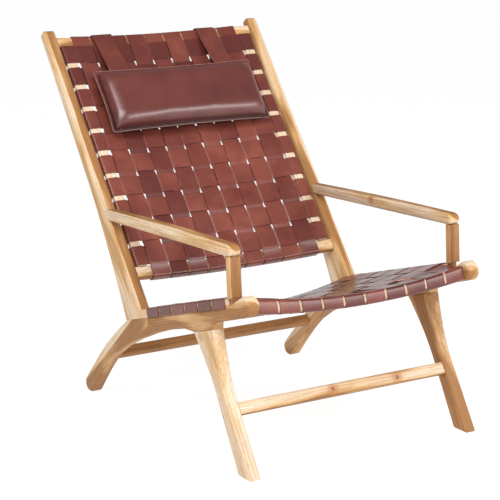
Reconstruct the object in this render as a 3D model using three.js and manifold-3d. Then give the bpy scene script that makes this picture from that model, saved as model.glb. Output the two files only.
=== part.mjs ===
// Leather sling lounge chair: a hardwood frame with a woven leather back and seat,
// and a padded head cushion that hangs from the top rail on two straps.
// Millimetres, +Z up, the sitter faces -Y, the floor is z = 0.

import * as THREE from "three";
import { mergeVertices } from "three/addons/utils/BufferGeometryUtils.js";
import Module from "manifold-3d";

const wasm = await Module();
wasm.setup();

const degrees = Math.PI / 180;

// The whole chair
const overallWidth = 650;
const timber = 32;
const fit = 0.3;
const softEdge = 4;
const trimReach = 12;
const cutter = 900;

// Seat line: the top of the side rails, from the nose rearwards
const seatSlopeAngle = 16.4;
const seatHeight = 426.7;
const railDepth = 50;
const noseDepth = 47;
const blockLength = 97;

// Seat leather
const seatLeather = 2.5;
const longStrapCount = 10;
const longStrapGap = 6.6;
const crossStrapCount = 6;
const crossStrapWidth = 56;
const crossStrapGap = 7.5;
const wrapHeight = 21;
const seatSag = 36;
const railDish = 24;

// Side rail and rear leg
const heelLength = 36;
const stileFootLength = 112;
const legPadStart = 170;
const legPadLength = 92;
const legPadDepth = 66;
const archFrontReach = 53;
const archFrontRise = 28;
const archRearReach = 90;
const rearLegReach = 208;
const rearLegTopAngle = 36;
const rearLegFootAngle = 46.5;
const rearLegHeelAngle = 50;
const rearLegWidth = 40;
const rearLegPullShare = 0.5;
const rearLegWaistShare = 0.4;
const rearFootRadius = 22.5;
const rearFootFlat = 0.6;

// Front leg
const footAhead = 12;
const footLength = 49;
const kneeHeight = 158;
const kneeSetback = 98;
const kneeDepth = 41;
const calfRise = 64;

// Back
const reclineAngle = 38;
const backLeather = 2.5;
const backStrapCount = 9;
const backStrapGap = 4.6;
const backSideGap = 8.1;
const backRowCount = 10;
const backRowWidth = 51;
const backRowPitch = 65;
const rowMargin = 1;
const bottomRailRise = 117.5;
const backBow = 16;

// Stile
const stileProud = 5;
const stileTopDepth = 26;
const stileTopOver = 20;
const stileTopRound = 10;
const waistHeight = 250;
const waistDepth = 36;
const calfHeight = 100;
const calfDepth = 42;

// Back rails and battens
const topRailHeight = 29;
const topRailDepth = 20;
const bottomRailHeight = 31;
const bottomRailDepth = 22;
const backRailRound = 4;
const battenWidth = 29;
const battenDepth = 12;
const battenSetIn = 8;
const battenRound = 3;
const strapTail = 15;

// Seat rails
const seatRailSetback = 21;
const seatRailDepth = 26;
const seatRailEndHeight = 29;
const seatRailMidHeight = 24;
const seatRailRound = 5;
const rearRailSetIn = 12;
const tongueRound = 3;

// Arms
const armRise = 72.3;
const armSlopeAngle = 2.3;
const armFrontDepth = 27;
const armRearDepth = 31;
const armBow = 5;
const armNose = 22;
const armChin = 12;
const postSetback = 68;
const postDepth = 19.5;
const postLeanAngle = 4;

// Stretchers
const frontStretcherHeight = 144;
const frontStretcherWidth = 30;
const frontStretcherDepth = 20;
const frontStretcherInset = 2;
const rearStretcherShare = 0.565;
const rearStretcherWidth = 22;
const rearStretcherDepth = 27;
const stretcherRound = 5;

// Tenons: thickness across the chair, width along the joint, length into the mortise
const tenonThickness = 12;
const legTenon = { width: 50, length: 24 };
const stileTenon = { width: 50, length: 22 };
const postFootTenon = { width: 12, length: 18 };
const postHeadTenon = { width: 12, length: 13 };
const armTenon = { width: 16, length: 14 };
const railTenonLength = 14;
const topRailTenon = { width: 16, height: 10 };
const bottomRailTenon = { width: 20, height: 12 };
const frontRailTenon = { width: 14, height: 14 };
const rearRailTenon = { width: 12, height: 10 };
const frontStretcherTenon = { width: 18, height: 10 };
const rearStretcherTenon = { width: 12, height: 16 };
const tenonRoot = 6;

// Head cushion and its straps
const cushionSideGap = 55;
const cushionHeight = 184;
const cushionBelowRail = 93;
const cushionStandOff = 22;
const cushionFrontBulge = 28;
const cushionSidePullShare = 0.015;
const cushionTopPullShare = 0.04;
const hangStrapInset = 53;
const hangStrapWidth = 56;
const hangTail = 16;

// Fineness
const arcStepCount = 6;
const bendStepCount = 3;
const cushionColumnCount = 22;
const cushionRowCount = 12;

// Materials
const wood = () => new THREE.MeshStandardMaterial({ color: 0xd9b384, roughness: 0.55, metalness: 0 });
const leather = () => new THREE.MeshStandardMaterial({ color: 0x7a3a30, roughness: 0.5, metalness: 0 });
const padLeather = () => new THREE.MeshStandardMaterial({ color: 0x6c3430, roughness: 0.4, metalness: 0 });

// Placement frames: the seat and the back each have a group that lies along them
const outerFace = overallWidth / 2;
const innerFace = outerFace - timber;
const longStrapPitch = 2 * innerFace / longStrapCount;
const longStrapWidth = longStrapPitch - longStrapGap;
const battenOuter = innerFace - battenSetIn;
const battenInner = battenOuter - battenWidth;
const backStrapPitch = (2 * (battenInner - backSideGap) + backStrapGap) / backStrapCount;
const backStrapWidth = backStrapPitch - backStrapGap;
const cushionWidth = 2 * (innerFace - cushionSideGap);
const hangStrapSpacing = cushionWidth - 2 * hangStrapInset - hangStrapWidth;
const slope = seatSlopeAngle * degrees;
const recline = reclineAngle * degrees;

const seatGroup = new THREE.Group();
seatGroup.position.set(0, 0, seatHeight);
seatGroup.rotation.x = -slope;
seatGroup.updateMatrixWorld();

// A point of the side view, as (y, z), from its distance along the seat line and height above it
function onSeat(along, above) {
  const point = new THREE.Vector3(0, along, above).applyMatrix4(seatGroup.matrixWorld);
  return new THREE.Vector2(point.y, point.z);
}

const bandLength = crossStrapCount * (crossStrapWidth + crossStrapGap);
const bandEnd = blockLength + bandLength;
const heelEnd = bandEnd + heelLength;
const backUp = new THREE.Vector2(Math.sin(recline), Math.cos(recline));
const backOut = new THREE.Vector2(-Math.cos(recline), Math.sin(recline));
const backOrigin = onSeat(heelEnd, 0)
  .addScaledVector(backUp, bottomRailRise)
  .addScaledVector(backOut, -stileProud);

const backGroup = new THREE.Group();
backGroup.position.set(0, backOrigin.x, backOrigin.y);
backGroup.rotation.x = Math.PI / 2 - recline;
backGroup.updateMatrixWorld();

// A point of the side view from its height up the back and distance in front of the rails
function onBack(up, out) {
  return backOrigin.clone().addScaledVector(backUp, up).addScaledVector(backOut, out);
}

// Where two lines of the side view cross
function lineMeet(pointA, directionA, pointB, directionB) {
  const cross = directionA.cross(directionB);
  const reach = pointB.clone().sub(pointA).cross(directionB) / cross;
  return pointA.clone().addScaledVector(directionA, reach);
}

// Solids

function toManifold(geometry) {
  const bare = geometry.clone();
  bare.deleteAttribute("normal");
  bare.deleteAttribute("uv");
  const merged = mergeVertices(bare);
  const vertProperties = new Float32Array(merged.attributes.position.array);
  const triVerts = new Uint32Array(merged.index.array);
  return new wasm.Manifold(new wasm.Mesh({ numProp: 3, vertProperties, triVerts }));
}

function toGeometry(manifold) {
  const mesh = manifold.getMesh();
  const geometry = new THREE.BufferGeometry();
  geometry.setAttribute("position", new THREE.BufferAttribute(mesh.vertProperties, 3));
  geometry.setIndex(new THREE.BufferAttribute(mesh.triVerts, 1));
  return geometry;
}

// A solid from a base with some geometries joined and some cut away
function carve(base, joined, cut) {
  let solid = toManifold(base);
  for (const piece of joined) solid = solid.add(toManifold(piece));
  for (const piece of cut) solid = solid.subtract(toManifold(piece));
  return toGeometry(solid);
}

function signedVolume(geometry) {
  const position = geometry.attributes.position;
  const index = geometry.index;
  const a = new THREE.Vector3();
  const b = new THREE.Vector3();
  const c = new THREE.Vector3();
  let total = 0;
  for (let i = 0; i < index.count; i += 3) {
    a.fromBufferAttribute(position, index.getX(i));
    b.fromBufferAttribute(position, index.getX(i + 1));
    c.fromBufferAttribute(position, index.getX(i + 2));
    total += a.dot(b.cross(c));
  }
  return total;
}

function flipFaces(geometry) {
  const index = geometry.index;
  for (let i = 0; i < index.count; i += 3) {
    const kept = index.getX(i);
    index.setX(i, index.getX(i + 1));
    index.setX(i + 1, kept);
  }
  return geometry;
}

function mirrored(geometry) {
  const copy = geometry.clone();
  copy.scale(-1, 1, 1);
  return flipFaces(copy);
}

// Side-view outlines are drawn as (y, z) and given their thickness along x
const sideView = new THREE.Matrix4().makeBasis(
  new THREE.Vector3(0, 1, 0),
  new THREE.Vector3(0, 0, 1),
  new THREE.Vector3(1, 0, 0),
);

// A board between two x places from a side-view outline, its long edges softened
function board(shape, fromX, toX, round) {
  const geometry = new THREE.ExtrudeGeometry(shape, {
    depth: toX - fromX - 2 * round,
    bevelEnabled: round > 0,
    bevelThickness: round,
    bevelSize: round,
    bevelOffset: -round,
    bevelSegments: 1,
    curveSegments: arcStepCount,
  });
  geometry.translate(0, 0, fromX + round);
  return geometry.applyMatrix4(sideView);
}

function outline(points) {
  return new THREE.Shape(points);
}

// A rectangle in the side view: it starts at a point, runs along a direction and is centred across it
function strip(start, direction, length, width) {
  const across = new THREE.Vector2(-direction.y, direction.x).multiplyScalar(width / 2);
  const end = start.clone().addScaledVector(direction, length);
  return outline([
    start.clone().sub(across),
    end.clone().sub(across),
    end.clone().add(across),
    start.clone().add(across),
  ]);
}

// Everything on one side of a line in the side view, as a cutting block
function cutAway(point, direction) {
  return board(strip(point, direction, cutter, 2 * cutter), innerFace - cutter, outerFace + cutter, 0);
}

const middleX = (innerFace + outerFace) / 2;

// A tenon in the side view and the mortise that takes it
function tenon(start, direction, size) {
  const root = start.clone().addScaledVector(direction, -tenonRoot);
  const half = tenonThickness / 2;
  return board(strip(root, direction, size.length + tenonRoot, size.width), middleX - half, middleX + half, 0);
}

function mortise(start, direction, size) {
  const mouth = start.clone().addScaledVector(direction, -tenonRoot);
  const half = tenonThickness / 2 + fit;
  const length = size.length + tenonRoot + fit;
  return board(strip(mouth, direction, length, size.width + 2 * fit), middleX - half, middleX + half, 0);
}

// A block in a group's own frame: x is across the chair
function block(fromX, toX, middleY, middleZ, width, height) {
  const geometry = new THREE.BoxGeometry(toX - fromX, width, height);
  return geometry.translate((fromX + toX) / 2, middleY, middleZ);
}

function railTenons(middleY, middleZ, size) {
  const root = innerFace - fit - tenonRoot;
  const tip = innerFace + railTenonLength - fit;
  return [
    block(root, tip, middleY, middleZ, size.width, size.height),
    block(-tip, -root, middleY, middleZ, size.width, size.height),
  ];
}

function railMortise(middleY, middleZ, size, group) {
  const geometry = block(
    innerFace - tenonRoot,
    innerFace + railTenonLength,
    middleY,
    middleZ,
    size.width + 2 * fit,
    size.height + 2 * fit,
  );
  return geometry.applyMatrix4(group.matrixWorld);
}

// The seat's woven surface

const seatHalf = seatLeather / 2;
const restLevel = fit + seatHalf;
const seatLift = (seatLeather + fit) / 2;

// Height of the middle of the seat weave, above the seat line
function seatWeave(x) {
  return restLevel - seatSag * (1 - (x / innerFace) ** 2);
}

function frontRailLevel(x) {
  return restLevel - seatSag + railDish * (x / innerFace) ** 2;
}

function longStrapMiddle(number) {
  return (number - (longStrapCount - 1) / 2) * longStrapPitch;
}

function crossStrapMiddle(number) {
  return blockLength + (number + 1 / 2) * (crossStrapWidth + crossStrapGap);
}

// Rear leg: it runs down in a slow curve from the corner behind the stile's foot
const jointLevel = -wrapHeight;
const rearCorner = onSeat(bandEnd + stileFootLength, jointLevel);

function downAt(angle) {
  return new THREE.Vector2(Math.cos(angle * degrees), -Math.sin(angle * degrees));
}

function outAt(angle) {
  return new THREE.Vector2(Math.sin(angle * degrees), Math.cos(angle * degrees));
}

const footCentreHeight = rearFootRadius - rearFootFlat;
const footCentre = new THREE.Vector2(rearCorner.x + rearLegReach, footCentreHeight);
const footTopside = footCentre.clone().addScaledVector(outAt(rearLegFootAngle), rearFootRadius);
const footUnderside = footCentre.clone().addScaledVector(outAt(rearLegHeelAngle), -rearFootRadius);
const legPull = rearCorner.distanceTo(footTopside) * rearLegPullShare;
const legTopCurve = new THREE.CubicBezierCurve(
  rearCorner,
  rearCorner.clone().addScaledVector(downAt(rearLegTopAngle), legPull),
  footTopside.clone().addScaledVector(downAt(rearLegFootAngle), -legPull),
  footTopside,
);

// A point on the leg, a distance in from its upper edge, with the leg's direction there
function inLeg(share, depth) {
  const along = legTopCurve.getTangent(share);
  const inward = new THREE.Vector2(along.y, -along.x);
  return { along, middle: legTopCurve.getPoint(share).addScaledVector(inward, depth) };
}

// The rounded foot, drawn from the leg's underside round to its top, with a flat on the floor
function drawRearFoot(shape) {
  const underside = -Math.PI / 2 - rearLegHeelAngle * degrees;
  const topside = Math.PI / 2 - rearLegFootAngle * degrees;
  const flatHalf = Math.acos(footCentreHeight / rearFootRadius);
  const floorIn = -Math.PI / 2 - flatHalf;
  const floorOut = -Math.PI / 2 + flatHalf;
  shape.absarc(footCentre.x, footCentre.y, rearFootRadius, underside, floorIn, false);
  shape.absarc(footCentre.x, footCentre.y, rearFootRadius, floorOut, topside, false);
}

function sideRailShape() {
  const noseRadius = noseDepth / 2;
  const nose = onSeat(noseRadius, -noseRadius);
  const padStep = legPadDepth - railDepth;
  const padRear = legPadStart + legPadLength;
  const padReach = -legPadDepth - trimReach;
  const archStart = onSeat(padRear + archFrontReach, -legPadDepth + archFrontRise);
  const waist = inLeg(rearLegWaistShare, rearLegWidth);
  const archPull = waist.middle.clone().addScaledVector(waist.along, -archRearReach);
  const shinPull = waist.middle.distanceTo(footUnderside) / 3;
  const waistPull = waist.middle.clone().addScaledVector(waist.along, shinPull);
  const heelPull = footUnderside.clone().addScaledVector(downAt(rearLegHeelAngle), -shinPull);
  const shape = new THREE.Shape();
  const to = (point) => shape.lineTo(point.x, point.y);
  const curve = (pullA, pullB, end) => shape.bezierCurveTo(pullA.x, pullA.y, pullB.x, pullB.y, end.x, end.y);
  const start = onSeat(blockLength, 0);
  shape.moveTo(start.x, start.y);
  shape.absarc(nose.x, nose.y, noseRadius, Math.PI / 2 - slope, 3 * Math.PI / 2 - slope, false);
  to(onSeat(legPadStart - padStep, -railDepth));
  const filletPull = onSeat(legPadStart, -railDepth);
  const filletEnd = onSeat(legPadStart, -legPadDepth);
  shape.quadraticCurveTo(filletPull.x, filletPull.y, filletEnd.x, filletEnd.y);
  to(onSeat(legPadStart, padReach));
  to(onSeat(padRear, padReach));
  to(onSeat(padRear, -legPadDepth));
  curve(archStart, archPull, waist.middle);
  curve(waistPull, heelPull, footUnderside);
  drawRearFoot(shape);
  curve(legTopCurve.v2, legTopCurve.v1, rearCorner);
  to(rearCorner.clone().addScaledVector(downAt(rearLegTopAngle), -trimReach));
  to(onSeat(bandEnd, jointLevel + trimReach));
  to(onSeat(bandEnd, jointLevel));
  to(onSeat(blockLength, jointLevel));
  return shape;
}

const legTop = onSeat(legPadStart + legPadLength / 2, -legPadDepth);
const seatUp = new THREE.Vector2(Math.sin(slope), Math.cos(slope));
const seatBack = new THREE.Vector2(Math.cos(slope), -Math.sin(slope));
const stileFootMiddle = onSeat(heelEnd + (stileFootLength - heelLength) / 2, jointLevel);
const leanUp = new THREE.Vector2(Math.sin(postLeanAngle * degrees), Math.cos(postLeanAngle * degrees));
const postFoot = onSeat(postSetback + postDepth / 2, 0);
const tongueOuter = outerFace - seatLeather - fit;

function sideRail() {
  const overlap = 2 * softEdge;
  const tongueShape = outline([
    onSeat(blockLength - overlap, 0),
    onSeat(blockLength - overlap, jointLevel - overlap),
    onSeat(bandEnd, jointLevel - overlap),
    onSeat(bandEnd, 0),
  ]);
  const body = board(sideRailShape(), innerFace, outerFace, softEdge);
  const tongue = board(tongueShape, innerFace, tongueOuter, tongueRound);
  const padCut = cutAway(legTop, seatUp.clone().negate());
  const padZone = toManifold(padCut).intersect(toManifold(board(outline([
    onSeat(legPadStart - softEdge, 0),
    onSeat(legPadStart - softEdge, -cutter),
    onSeat(legPadStart + legPadLength + softEdge, -cutter),
    onSeat(legPadStart + legPadLength + softEdge, 0),
  ]), innerFace - cutter, outerFace + cutter, 0)));
  const heelCut = board(outline([
    onSeat(bandEnd - softEdge, jointLevel),
    onSeat(bandEnd + stileFootLength + trimReach, jointLevel),
    onSeat(bandEnd + stileFootLength + trimReach, cutter),
    onSeat(bandEnd - softEdge, cutter),
  ]), innerFace - cutter, outerFace + cutter, 0);
  let solid = toManifold(body).subtract(padZone).subtract(toManifold(heelCut));
  solid = solid.add(toManifold(tongue));
  const cuts = [
    mortise(legTop, seatUp, legTenon),
    mortise(stileFootMiddle, seatUp.clone().negate(), stileTenon),
    mortise(postFoot, leanUp.clone().negate(), postFootTenon),
    railMortise(frontRailMiddle, frontRailTenonLevel, frontRailTenon, seatGroup),
    stretcherMortise(rearStretcherPlace),
  ];
  for (const cut of cuts) solid = solid.subtract(toManifold(cut));
  return toGeometry(solid);
}

// Front leg: straight below the knee, swelling up to its seat under the rail
const footFront = new THREE.Vector2(-footAhead, 0);
const kneeFront = footFront.clone().add(new THREE.Vector2(kneeSetback, kneeHeight));
const kneeRear = kneeFront.clone().add(new THREE.Vector2(kneeDepth, 0));
const footRear = footFront.clone().add(new THREE.Vector2(footLength, 0));
const shinUp = kneeFront.clone().sub(footFront).normalize();

function frontLeg() {
  const topFront = onSeat(legPadStart, -legPadDepth);
  const topRear = onSeat(legPadStart + legPadLength, -legPadDepth);
  const rearUp = kneeRear.clone().sub(footRear).normalize();
  const frontPull = kneeFront.clone().addScaledVector(shinUp, calfRise);
  const rearPull = kneeRear.clone().addScaledVector(rearUp, calfRise);
  const shape = new THREE.Shape();
  shape.moveTo(footFront.x, footFront.y);
  shape.lineTo(footRear.x, footRear.y);
  shape.lineTo(kneeRear.x, kneeRear.y);
  shape.quadraticCurveTo(rearPull.x, rearPull.y, topRear.x, topRear.y);
  const aboveRear = topRear.clone().addScaledVector(seatUp, trimReach);
  const aboveFront = topFront.clone().addScaledVector(seatUp, trimReach);
  shape.lineTo(aboveRear.x, aboveRear.y);
  shape.lineTo(aboveFront.x, aboveFront.y);
  shape.lineTo(topFront.x, topFront.y);
  shape.quadraticCurveTo(frontPull.x, frontPull.y, kneeFront.x, kneeFront.y);
  const seatCut = cutAway(legTop.clone().addScaledVector(seatUp, -fit), seatUp);
  const shoulder = legTop.clone().addScaledVector(seatUp, -fit);
  const body = carve(board(shape, innerFace, outerFace, softEdge), [], [seatCut]);
  return carve(body, [tenon(shoulder, seatUp, legTenon)], [stretcherMortise(frontStretcherPlace)]);
}

// Back stile: heel on the side rail, long taper, rounded top
const rowSpan = 2 * rowMargin + backRowWidth + (backRowCount - 1) * backRowPitch;
const backTop = rowSpan + topRailHeight;
const stileTop = backTop + stileTopOver;
const armFrontPoint = lineMeet(
  onSeat(postSetback, 0), leanUp, new THREE.Vector2(0, seatHeight + armRise), new THREE.Vector2(1, 0),
);
const armBack = new THREE.Vector2(Math.cos(armSlopeAngle * degrees), -Math.sin(armSlopeAngle * degrees));
const armRearLow = lineMeet(armFrontPoint, armBack, onBack(0, stileProud), backUp);
const armRearMiddle = armRearLow.clone().addScaledVector(backUp, armRearDepth / 2);

function stileShape() {
  const shape = new THREE.Shape();
  const to = (point) => shape.lineTo(point.x, point.y);
  const bend = (pull, end) => shape.quadraticCurveTo(pull.x, pull.y, end.x, end.y);
  const footLevel = jointLevel - trimReach;
  const start = onSeat(heelEnd, 0);
  shape.moveTo(start.x, start.y);
  to(onSeat(bandEnd + fit, 0));
  to(onSeat(bandEnd + fit, footLevel));
  to(rearCorner.clone().addScaledVector(seatUp, -trimReach));
  to(rearCorner);
  bend(onBack(calfHeight, stileProud - calfDepth), onBack(waistHeight, stileProud - waistDepth));
  const rearTop = stileProud - stileTopDepth;
  to(onBack(stileTop - stileTopRound, rearTop));
  bend(onBack(stileTop, rearTop), onBack(stileTop, rearTop + stileTopRound));
  to(onBack(stileTop, stileProud - stileTopRound));
  bend(onBack(stileTop, stileProud), onBack(stileTop - stileTopRound, stileProud));
  return shape;
}

function backStile() {
  const shoulder = stileFootMiddle.clone().addScaledVector(seatUp, fit);
  const down = seatUp.clone().negate();
  const body = carve(board(stileShape(), innerFace, outerFace, softEdge), [], [cutAway(shoulder, down)]);
  return carve(body, [tenon(shoulder, down, stileTenon)], [
    mortise(armRearMiddle, armBack, armTenon),
    railMortise(backTop - topRailHeight / 2, -topRailDepth / 2, topRailTenon, backGroup),
    railMortise(-bottomRailHeight / 2, -bottomRailDepth / 2, bottomRailTenon, backGroup),
    railMortise(rearRailMiddle, rearRailTenonLevel, rearRailTenon, seatGroup),
  ]);
}

// Arm post: a thin leaning board between the rail's front block and the arm
const postHead = lineMeet(armFrontPoint, armBack, postFoot, leanUp);

function armPost() {
  const length = postHead.distanceTo(postFoot) + 2 * trimReach;
  const start = postFoot.clone().addScaledVector(leanUp, -trimReach);
  const body = board(strip(start, leanUp, length, postDepth), innerFace, outerFace, softEdge);
  const foot = postFoot.clone().addScaledVector(seatUp, fit);
  const armUp = new THREE.Vector2(-armBack.y, armBack.x);
  const head = postHead.clone().addScaledVector(armUp, -fit);
  const trimmed = carve(body, [], [cutAway(foot, seatUp.clone().negate()), cutAway(head, armUp)]);
  const footTenon = tenon(foot, leanUp.clone().negate(), postFootTenon);
  return carve(trimmed, [footTenon, tenon(head, leanUp, postHeadTenon)], []);
}

function armrest() {
  const stileFace = onBack(0, stileProud + fit);
  const rearLow = lineMeet(armFrontPoint, armBack, stileFace, backUp);
  const rearHigh = rearLow.clone().addScaledVector(backUp, armRearDepth);
  const inside = (point) => point.clone().addScaledVector(armBack, trimReach);
  const frontHigh = armFrontPoint.clone().add(new THREE.Vector2(0, armFrontDepth));
  const noseStart = frontHigh.clone().addScaledVector(armBack, armNose);
  const bowPull = noseStart.clone().add(rearHigh).multiplyScalar(1 / 2).add(new THREE.Vector2(0, armBow));
  const chin = armFrontPoint.clone().add(new THREE.Vector2(0, armChin));
  const chinEnd = armFrontPoint.clone().addScaledVector(armBack, armChin);
  const shape = new THREE.Shape();
  const to = (point) => shape.lineTo(point.x, point.y);
  shape.moveTo(chinEnd.x, chinEnd.y);
  to(inside(rearLow));
  to(inside(rearHigh));
  to(rearHigh);
  shape.quadraticCurveTo(bowPull.x, bowPull.y, noseStart.x, noseStart.y);
  shape.quadraticCurveTo(frontHigh.x, frontHigh.y, chin.x, chin.y);
  shape.quadraticCurveTo(armFrontPoint.x, armFrontPoint.y, chinEnd.x, chinEnd.y);
  const intoStile = new THREE.Vector2(Math.cos(recline), -Math.sin(recline));
  const body = carve(board(shape, innerFace, outerFace, softEdge), [], [cutAway(stileFace, intoStile)]);
  const peg = tenon(armRearMiddle.clone().addScaledVector(armBack, -fit), armBack, armTenon);
  return carve(body, [peg], [mortise(postHead, leanUp, postHeadTenon)]);
}

// Stretchers between the legs, turned to lie along them
const frontStretcherFace = lineMeet(
  footFront, shinUp, new THREE.Vector2(0, frontStretcherHeight), new THREE.Vector2(1, 0),
);
const frontStretcherPlace = {
  middle: frontStretcherFace.clone().addScaledVector(
    new THREE.Vector2(shinUp.y, -shinUp.x), frontStretcherInset + frontStretcherDepth / 2,
  ),
  along: shinUp,
  width: frontStretcherWidth,
  depth: frontStretcherDepth,
  tenon: frontStretcherTenon,
};
const rearStretcherPlace = {
  ...inLeg(rearStretcherShare, rearLegWidth / 2),
  width: rearStretcherWidth,
  depth: rearStretcherDepth,
  tenon: rearStretcherTenon,
};

function centredStrip(place, width, depth) {
  const start = place.middle.clone().addScaledVector(place.along, -width / 2);
  return strip(start, place.along, width, depth);
}

function stretcherMortise(place) {
  const shape = centredStrip(place, place.tenon.width + 2 * fit, place.tenon.height + 2 * fit);
  return board(shape, innerFace - tenonRoot, innerFace + railTenonLength, 0);
}

function roundedRectangle(width, height, round) {
  const x = width / 2;
  const y = height / 2;
  const shape = new THREE.Shape();
  shape.absarc(x - round, y - round, round, 0, Math.PI / 2, false);
  shape.absarc(round - x, y - round, round, Math.PI / 2, Math.PI, false);
  shape.absarc(round - x, round - y, round, Math.PI, 3 * Math.PI / 2, false);
  shape.absarc(x - round, round - y, round, 3 * Math.PI / 2, 2 * Math.PI, false);
  return shape;
}

// A rail across the chair: its section is centred on the origin of the geometry, x is its length
function crossRail(width, height, round) {
  const span = innerFace - fit;
  const geometry = new THREE.ExtrudeGeometry(roundedRectangle(width, height, round), {
    depth: 2 * span,
    bevelEnabled: false,
    curveSegments: bendStepCount / 2,
  });
  geometry.translate(0, 0, -span);
  return geometry.applyMatrix4(sideView);
}

function stretcher(place) {
  const rail = crossRail(place.width, place.depth, stretcherRound);
  const geometry = carve(rail, railTenons(0, 0, place.tenon), []);
  const piece = new THREE.Mesh(geometry, wood());
  piece.position.set(0, place.middle.x, place.middle.y);
  piece.rotation.x = Math.atan2(place.along.y, place.along.x);
  return piece;
}

function batten() {
  const length = rowSpan - 2 * fit;
  const geometry = new THREE.ExtrudeGeometry(roundedRectangle(battenWidth, battenDepth, battenRound), {
    depth: length,
    bevelEnabled: false,
    curveSegments: bendStepCount / 2,
  });
  geometry.rotateX(-Math.PI / 2);
  geometry.translate((battenInner + battenOuter) / 2, fit, -battenDepth / 2);
  return carve(geometry, [], []);
}

// Dished rails: boards with their long edges rounded for the straps

// The long edges of straps that lie side by side
function strapEdges(count, middleOf, width) {
  const middles = [...Array(count).keys()].map(middleOf);
  return middles.flatMap((middle) => [middle - width / 2, middle + width / 2]);
}

// A rail from the lines of its upper and under faces across the chair, and where it starts
function dishedRail(edges, upper, under, start, depth, round, tenonMiddle, tenonSize) {
  const span = innerFace - fit;
  const reach = span + trimReach;
  const places = [-reach, ...edges, reach];
  const top = places.map((x) => new THREE.Vector2(x, upper(x)));
  const bottom = places.map((x) => new THREE.Vector2(x, under(x))).reverse();
  const geometry = new THREE.ExtrudeGeometry(outline([...bottom, ...top]), {
    depth: depth - 2 * round,
    bevelEnabled: true,
    bevelThickness: round,
    bevelSize: round,
    bevelOffset: -round,
    bevelSegments: 1,
  });
  geometry.rotateX(Math.PI / 2);
  geometry.translate(0, start + depth - round, 0);
  const ends = [
    block(span, cutter, 0, 0, cutter * 2, cutter),
    block(-cutter, -span, 0, 0, cutter * 2, cutter),
  ];
  const pegs = railTenons(start + depth / 2, tenonMiddle, tenonSize);
  return carve(carve(geometry, [], ends), pegs, []);
}

// The back's rails bow away from the sitter
function backFace(x) {
  return -backBow * (1 - (x / innerFace) ** 2);
}

function backRail(start, height, depth, tenonSize) {
  const edges = strapEdges(backStrapCount, backStrapMiddle, backStrapWidth);
  const rear = (x) => backFace(x) - depth;
  return dishedRail(edges, backFace, rear, start, height, backRailRound, -depth / 2, tenonSize);
}

// The seat's rails sag in the middle
const frontRailMiddle = seatRailSetback + seatRailDepth / 2;
const rearRailStart = bandEnd + rearRailSetIn;
const rearRailMiddle = rearRailStart + seatRailDepth / 2;
const frontRailTenonLevel = frontRailLevel(innerFace) - restLevel - seatRailEndHeight / 2;
const rearRailTenonLevel = (jointLevel + fit - restLevel + seatRailRound) / 2;

function railUnderside(level, x) {
  const swell = (seatRailEndHeight - seatRailMidHeight) * (x / innerFace) ** 2;
  return level(x) - restLevel - seatRailMidHeight - swell;
}

function seatRail(level, start, tenonLevel, tenonSize) {
  const edges = strapEdges(longStrapCount, longStrapMiddle, longStrapWidth);
  const upper = (x) => level(x) - restLevel;
  const under = (x) => railUnderside(level, x);
  return dishedRail(edges, upper, under, start, seatRailDepth, seatRailRound, tenonLevel, tenonSize);
}

// Straps

// A run of the strap's middle line: each point has its place and the direction of its thickness
function runPoint(along, out, normalAlong, normalOut) {
  return { along, out, normalAlong, normalOut };
}

function flat(along, out) {
  return runPoint(along, out, 0, 1);
}

// Points round a bend, from one angle of its normal to another
function bend(centreAlong, centreOut, radius, from, to) {
  const points = [];
  for (let step = 0; step <= bendStepCount; step += 1) {
    const angle = from + (to - from) * step / bendStepCount;
    const c = Math.cos(angle);
    const s = Math.sin(angle);
    points.push(runPoint(centreAlong + radius * c, centreOut + radius * s, c, s));
  }
  return points;
}

// A closed strap from the runs along its two long edges
function strapSolid(leftRun, rightRun, thickness, place) {
  const positions = [];
  const index = [];
  const half = thickness / 2;
  const corner = (point, side, lift) => place(
    point.along + point.normalAlong * lift, point.out + point.normalOut * lift, side,
  );
  leftRun.forEach((left, row) => {
    const right = rightRun[row];
    const corners = [
      corner(left, 0, half), corner(right, 1, half), corner(right, 1, -half), corner(left, 0, -half),
    ];
    for (const point of corners) positions.push(point.x, point.y, point.z);
  });
  const quad = (a, b, c, d) => index.push(a, b, c, a, c, d);
  const last = 4 * (leftRun.length - 1);
  for (let row = 0; row < last; row += 4) {
    for (let side = 0; side < 4; side += 1) {
      const next = (side + 1) % 4;
      quad(row + side, row + next, row + 4 + next, row + 4 + side);
    }
  }
  quad(3, 2, 1, 0);
  quad(last, last + 1, last + 2, last + 3);
  const geometry = new THREE.BufferGeometry();
  geometry.setAttribute("position", new THREE.Float32BufferAttribute(positions, 3));
  geometry.setIndex(index);
  return signedVolume(geometry) < 0 ? flipFaces(geometry) : geometry;
}

function isOver(first, second) {
  return (first + second) % 2 === 0;
}

// Back weave
const backHalf = backLeather / 2;
const backRest = fit + backHalf;
const backLift = backLeather + fit;

function backStrapMiddle(number) {
  return (number - (backStrapCount - 1) / 2) * backStrapPitch;
}

function backRowMiddle(number) {
  return rowMargin + backRowWidth / 2 + (backRowCount - 1 - number) * backRowPitch;
}

// Up the face of a strap over its crossings: two points for each
function crossings(middles, width, overs, rest, lift) {
  return middles.flatMap((middle, number) => {
    const level = overs[number] ? rest + lift : rest;
    return [flat(middle - width / 2, level), flat(middle + width / 2, level)];
  });
}

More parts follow.
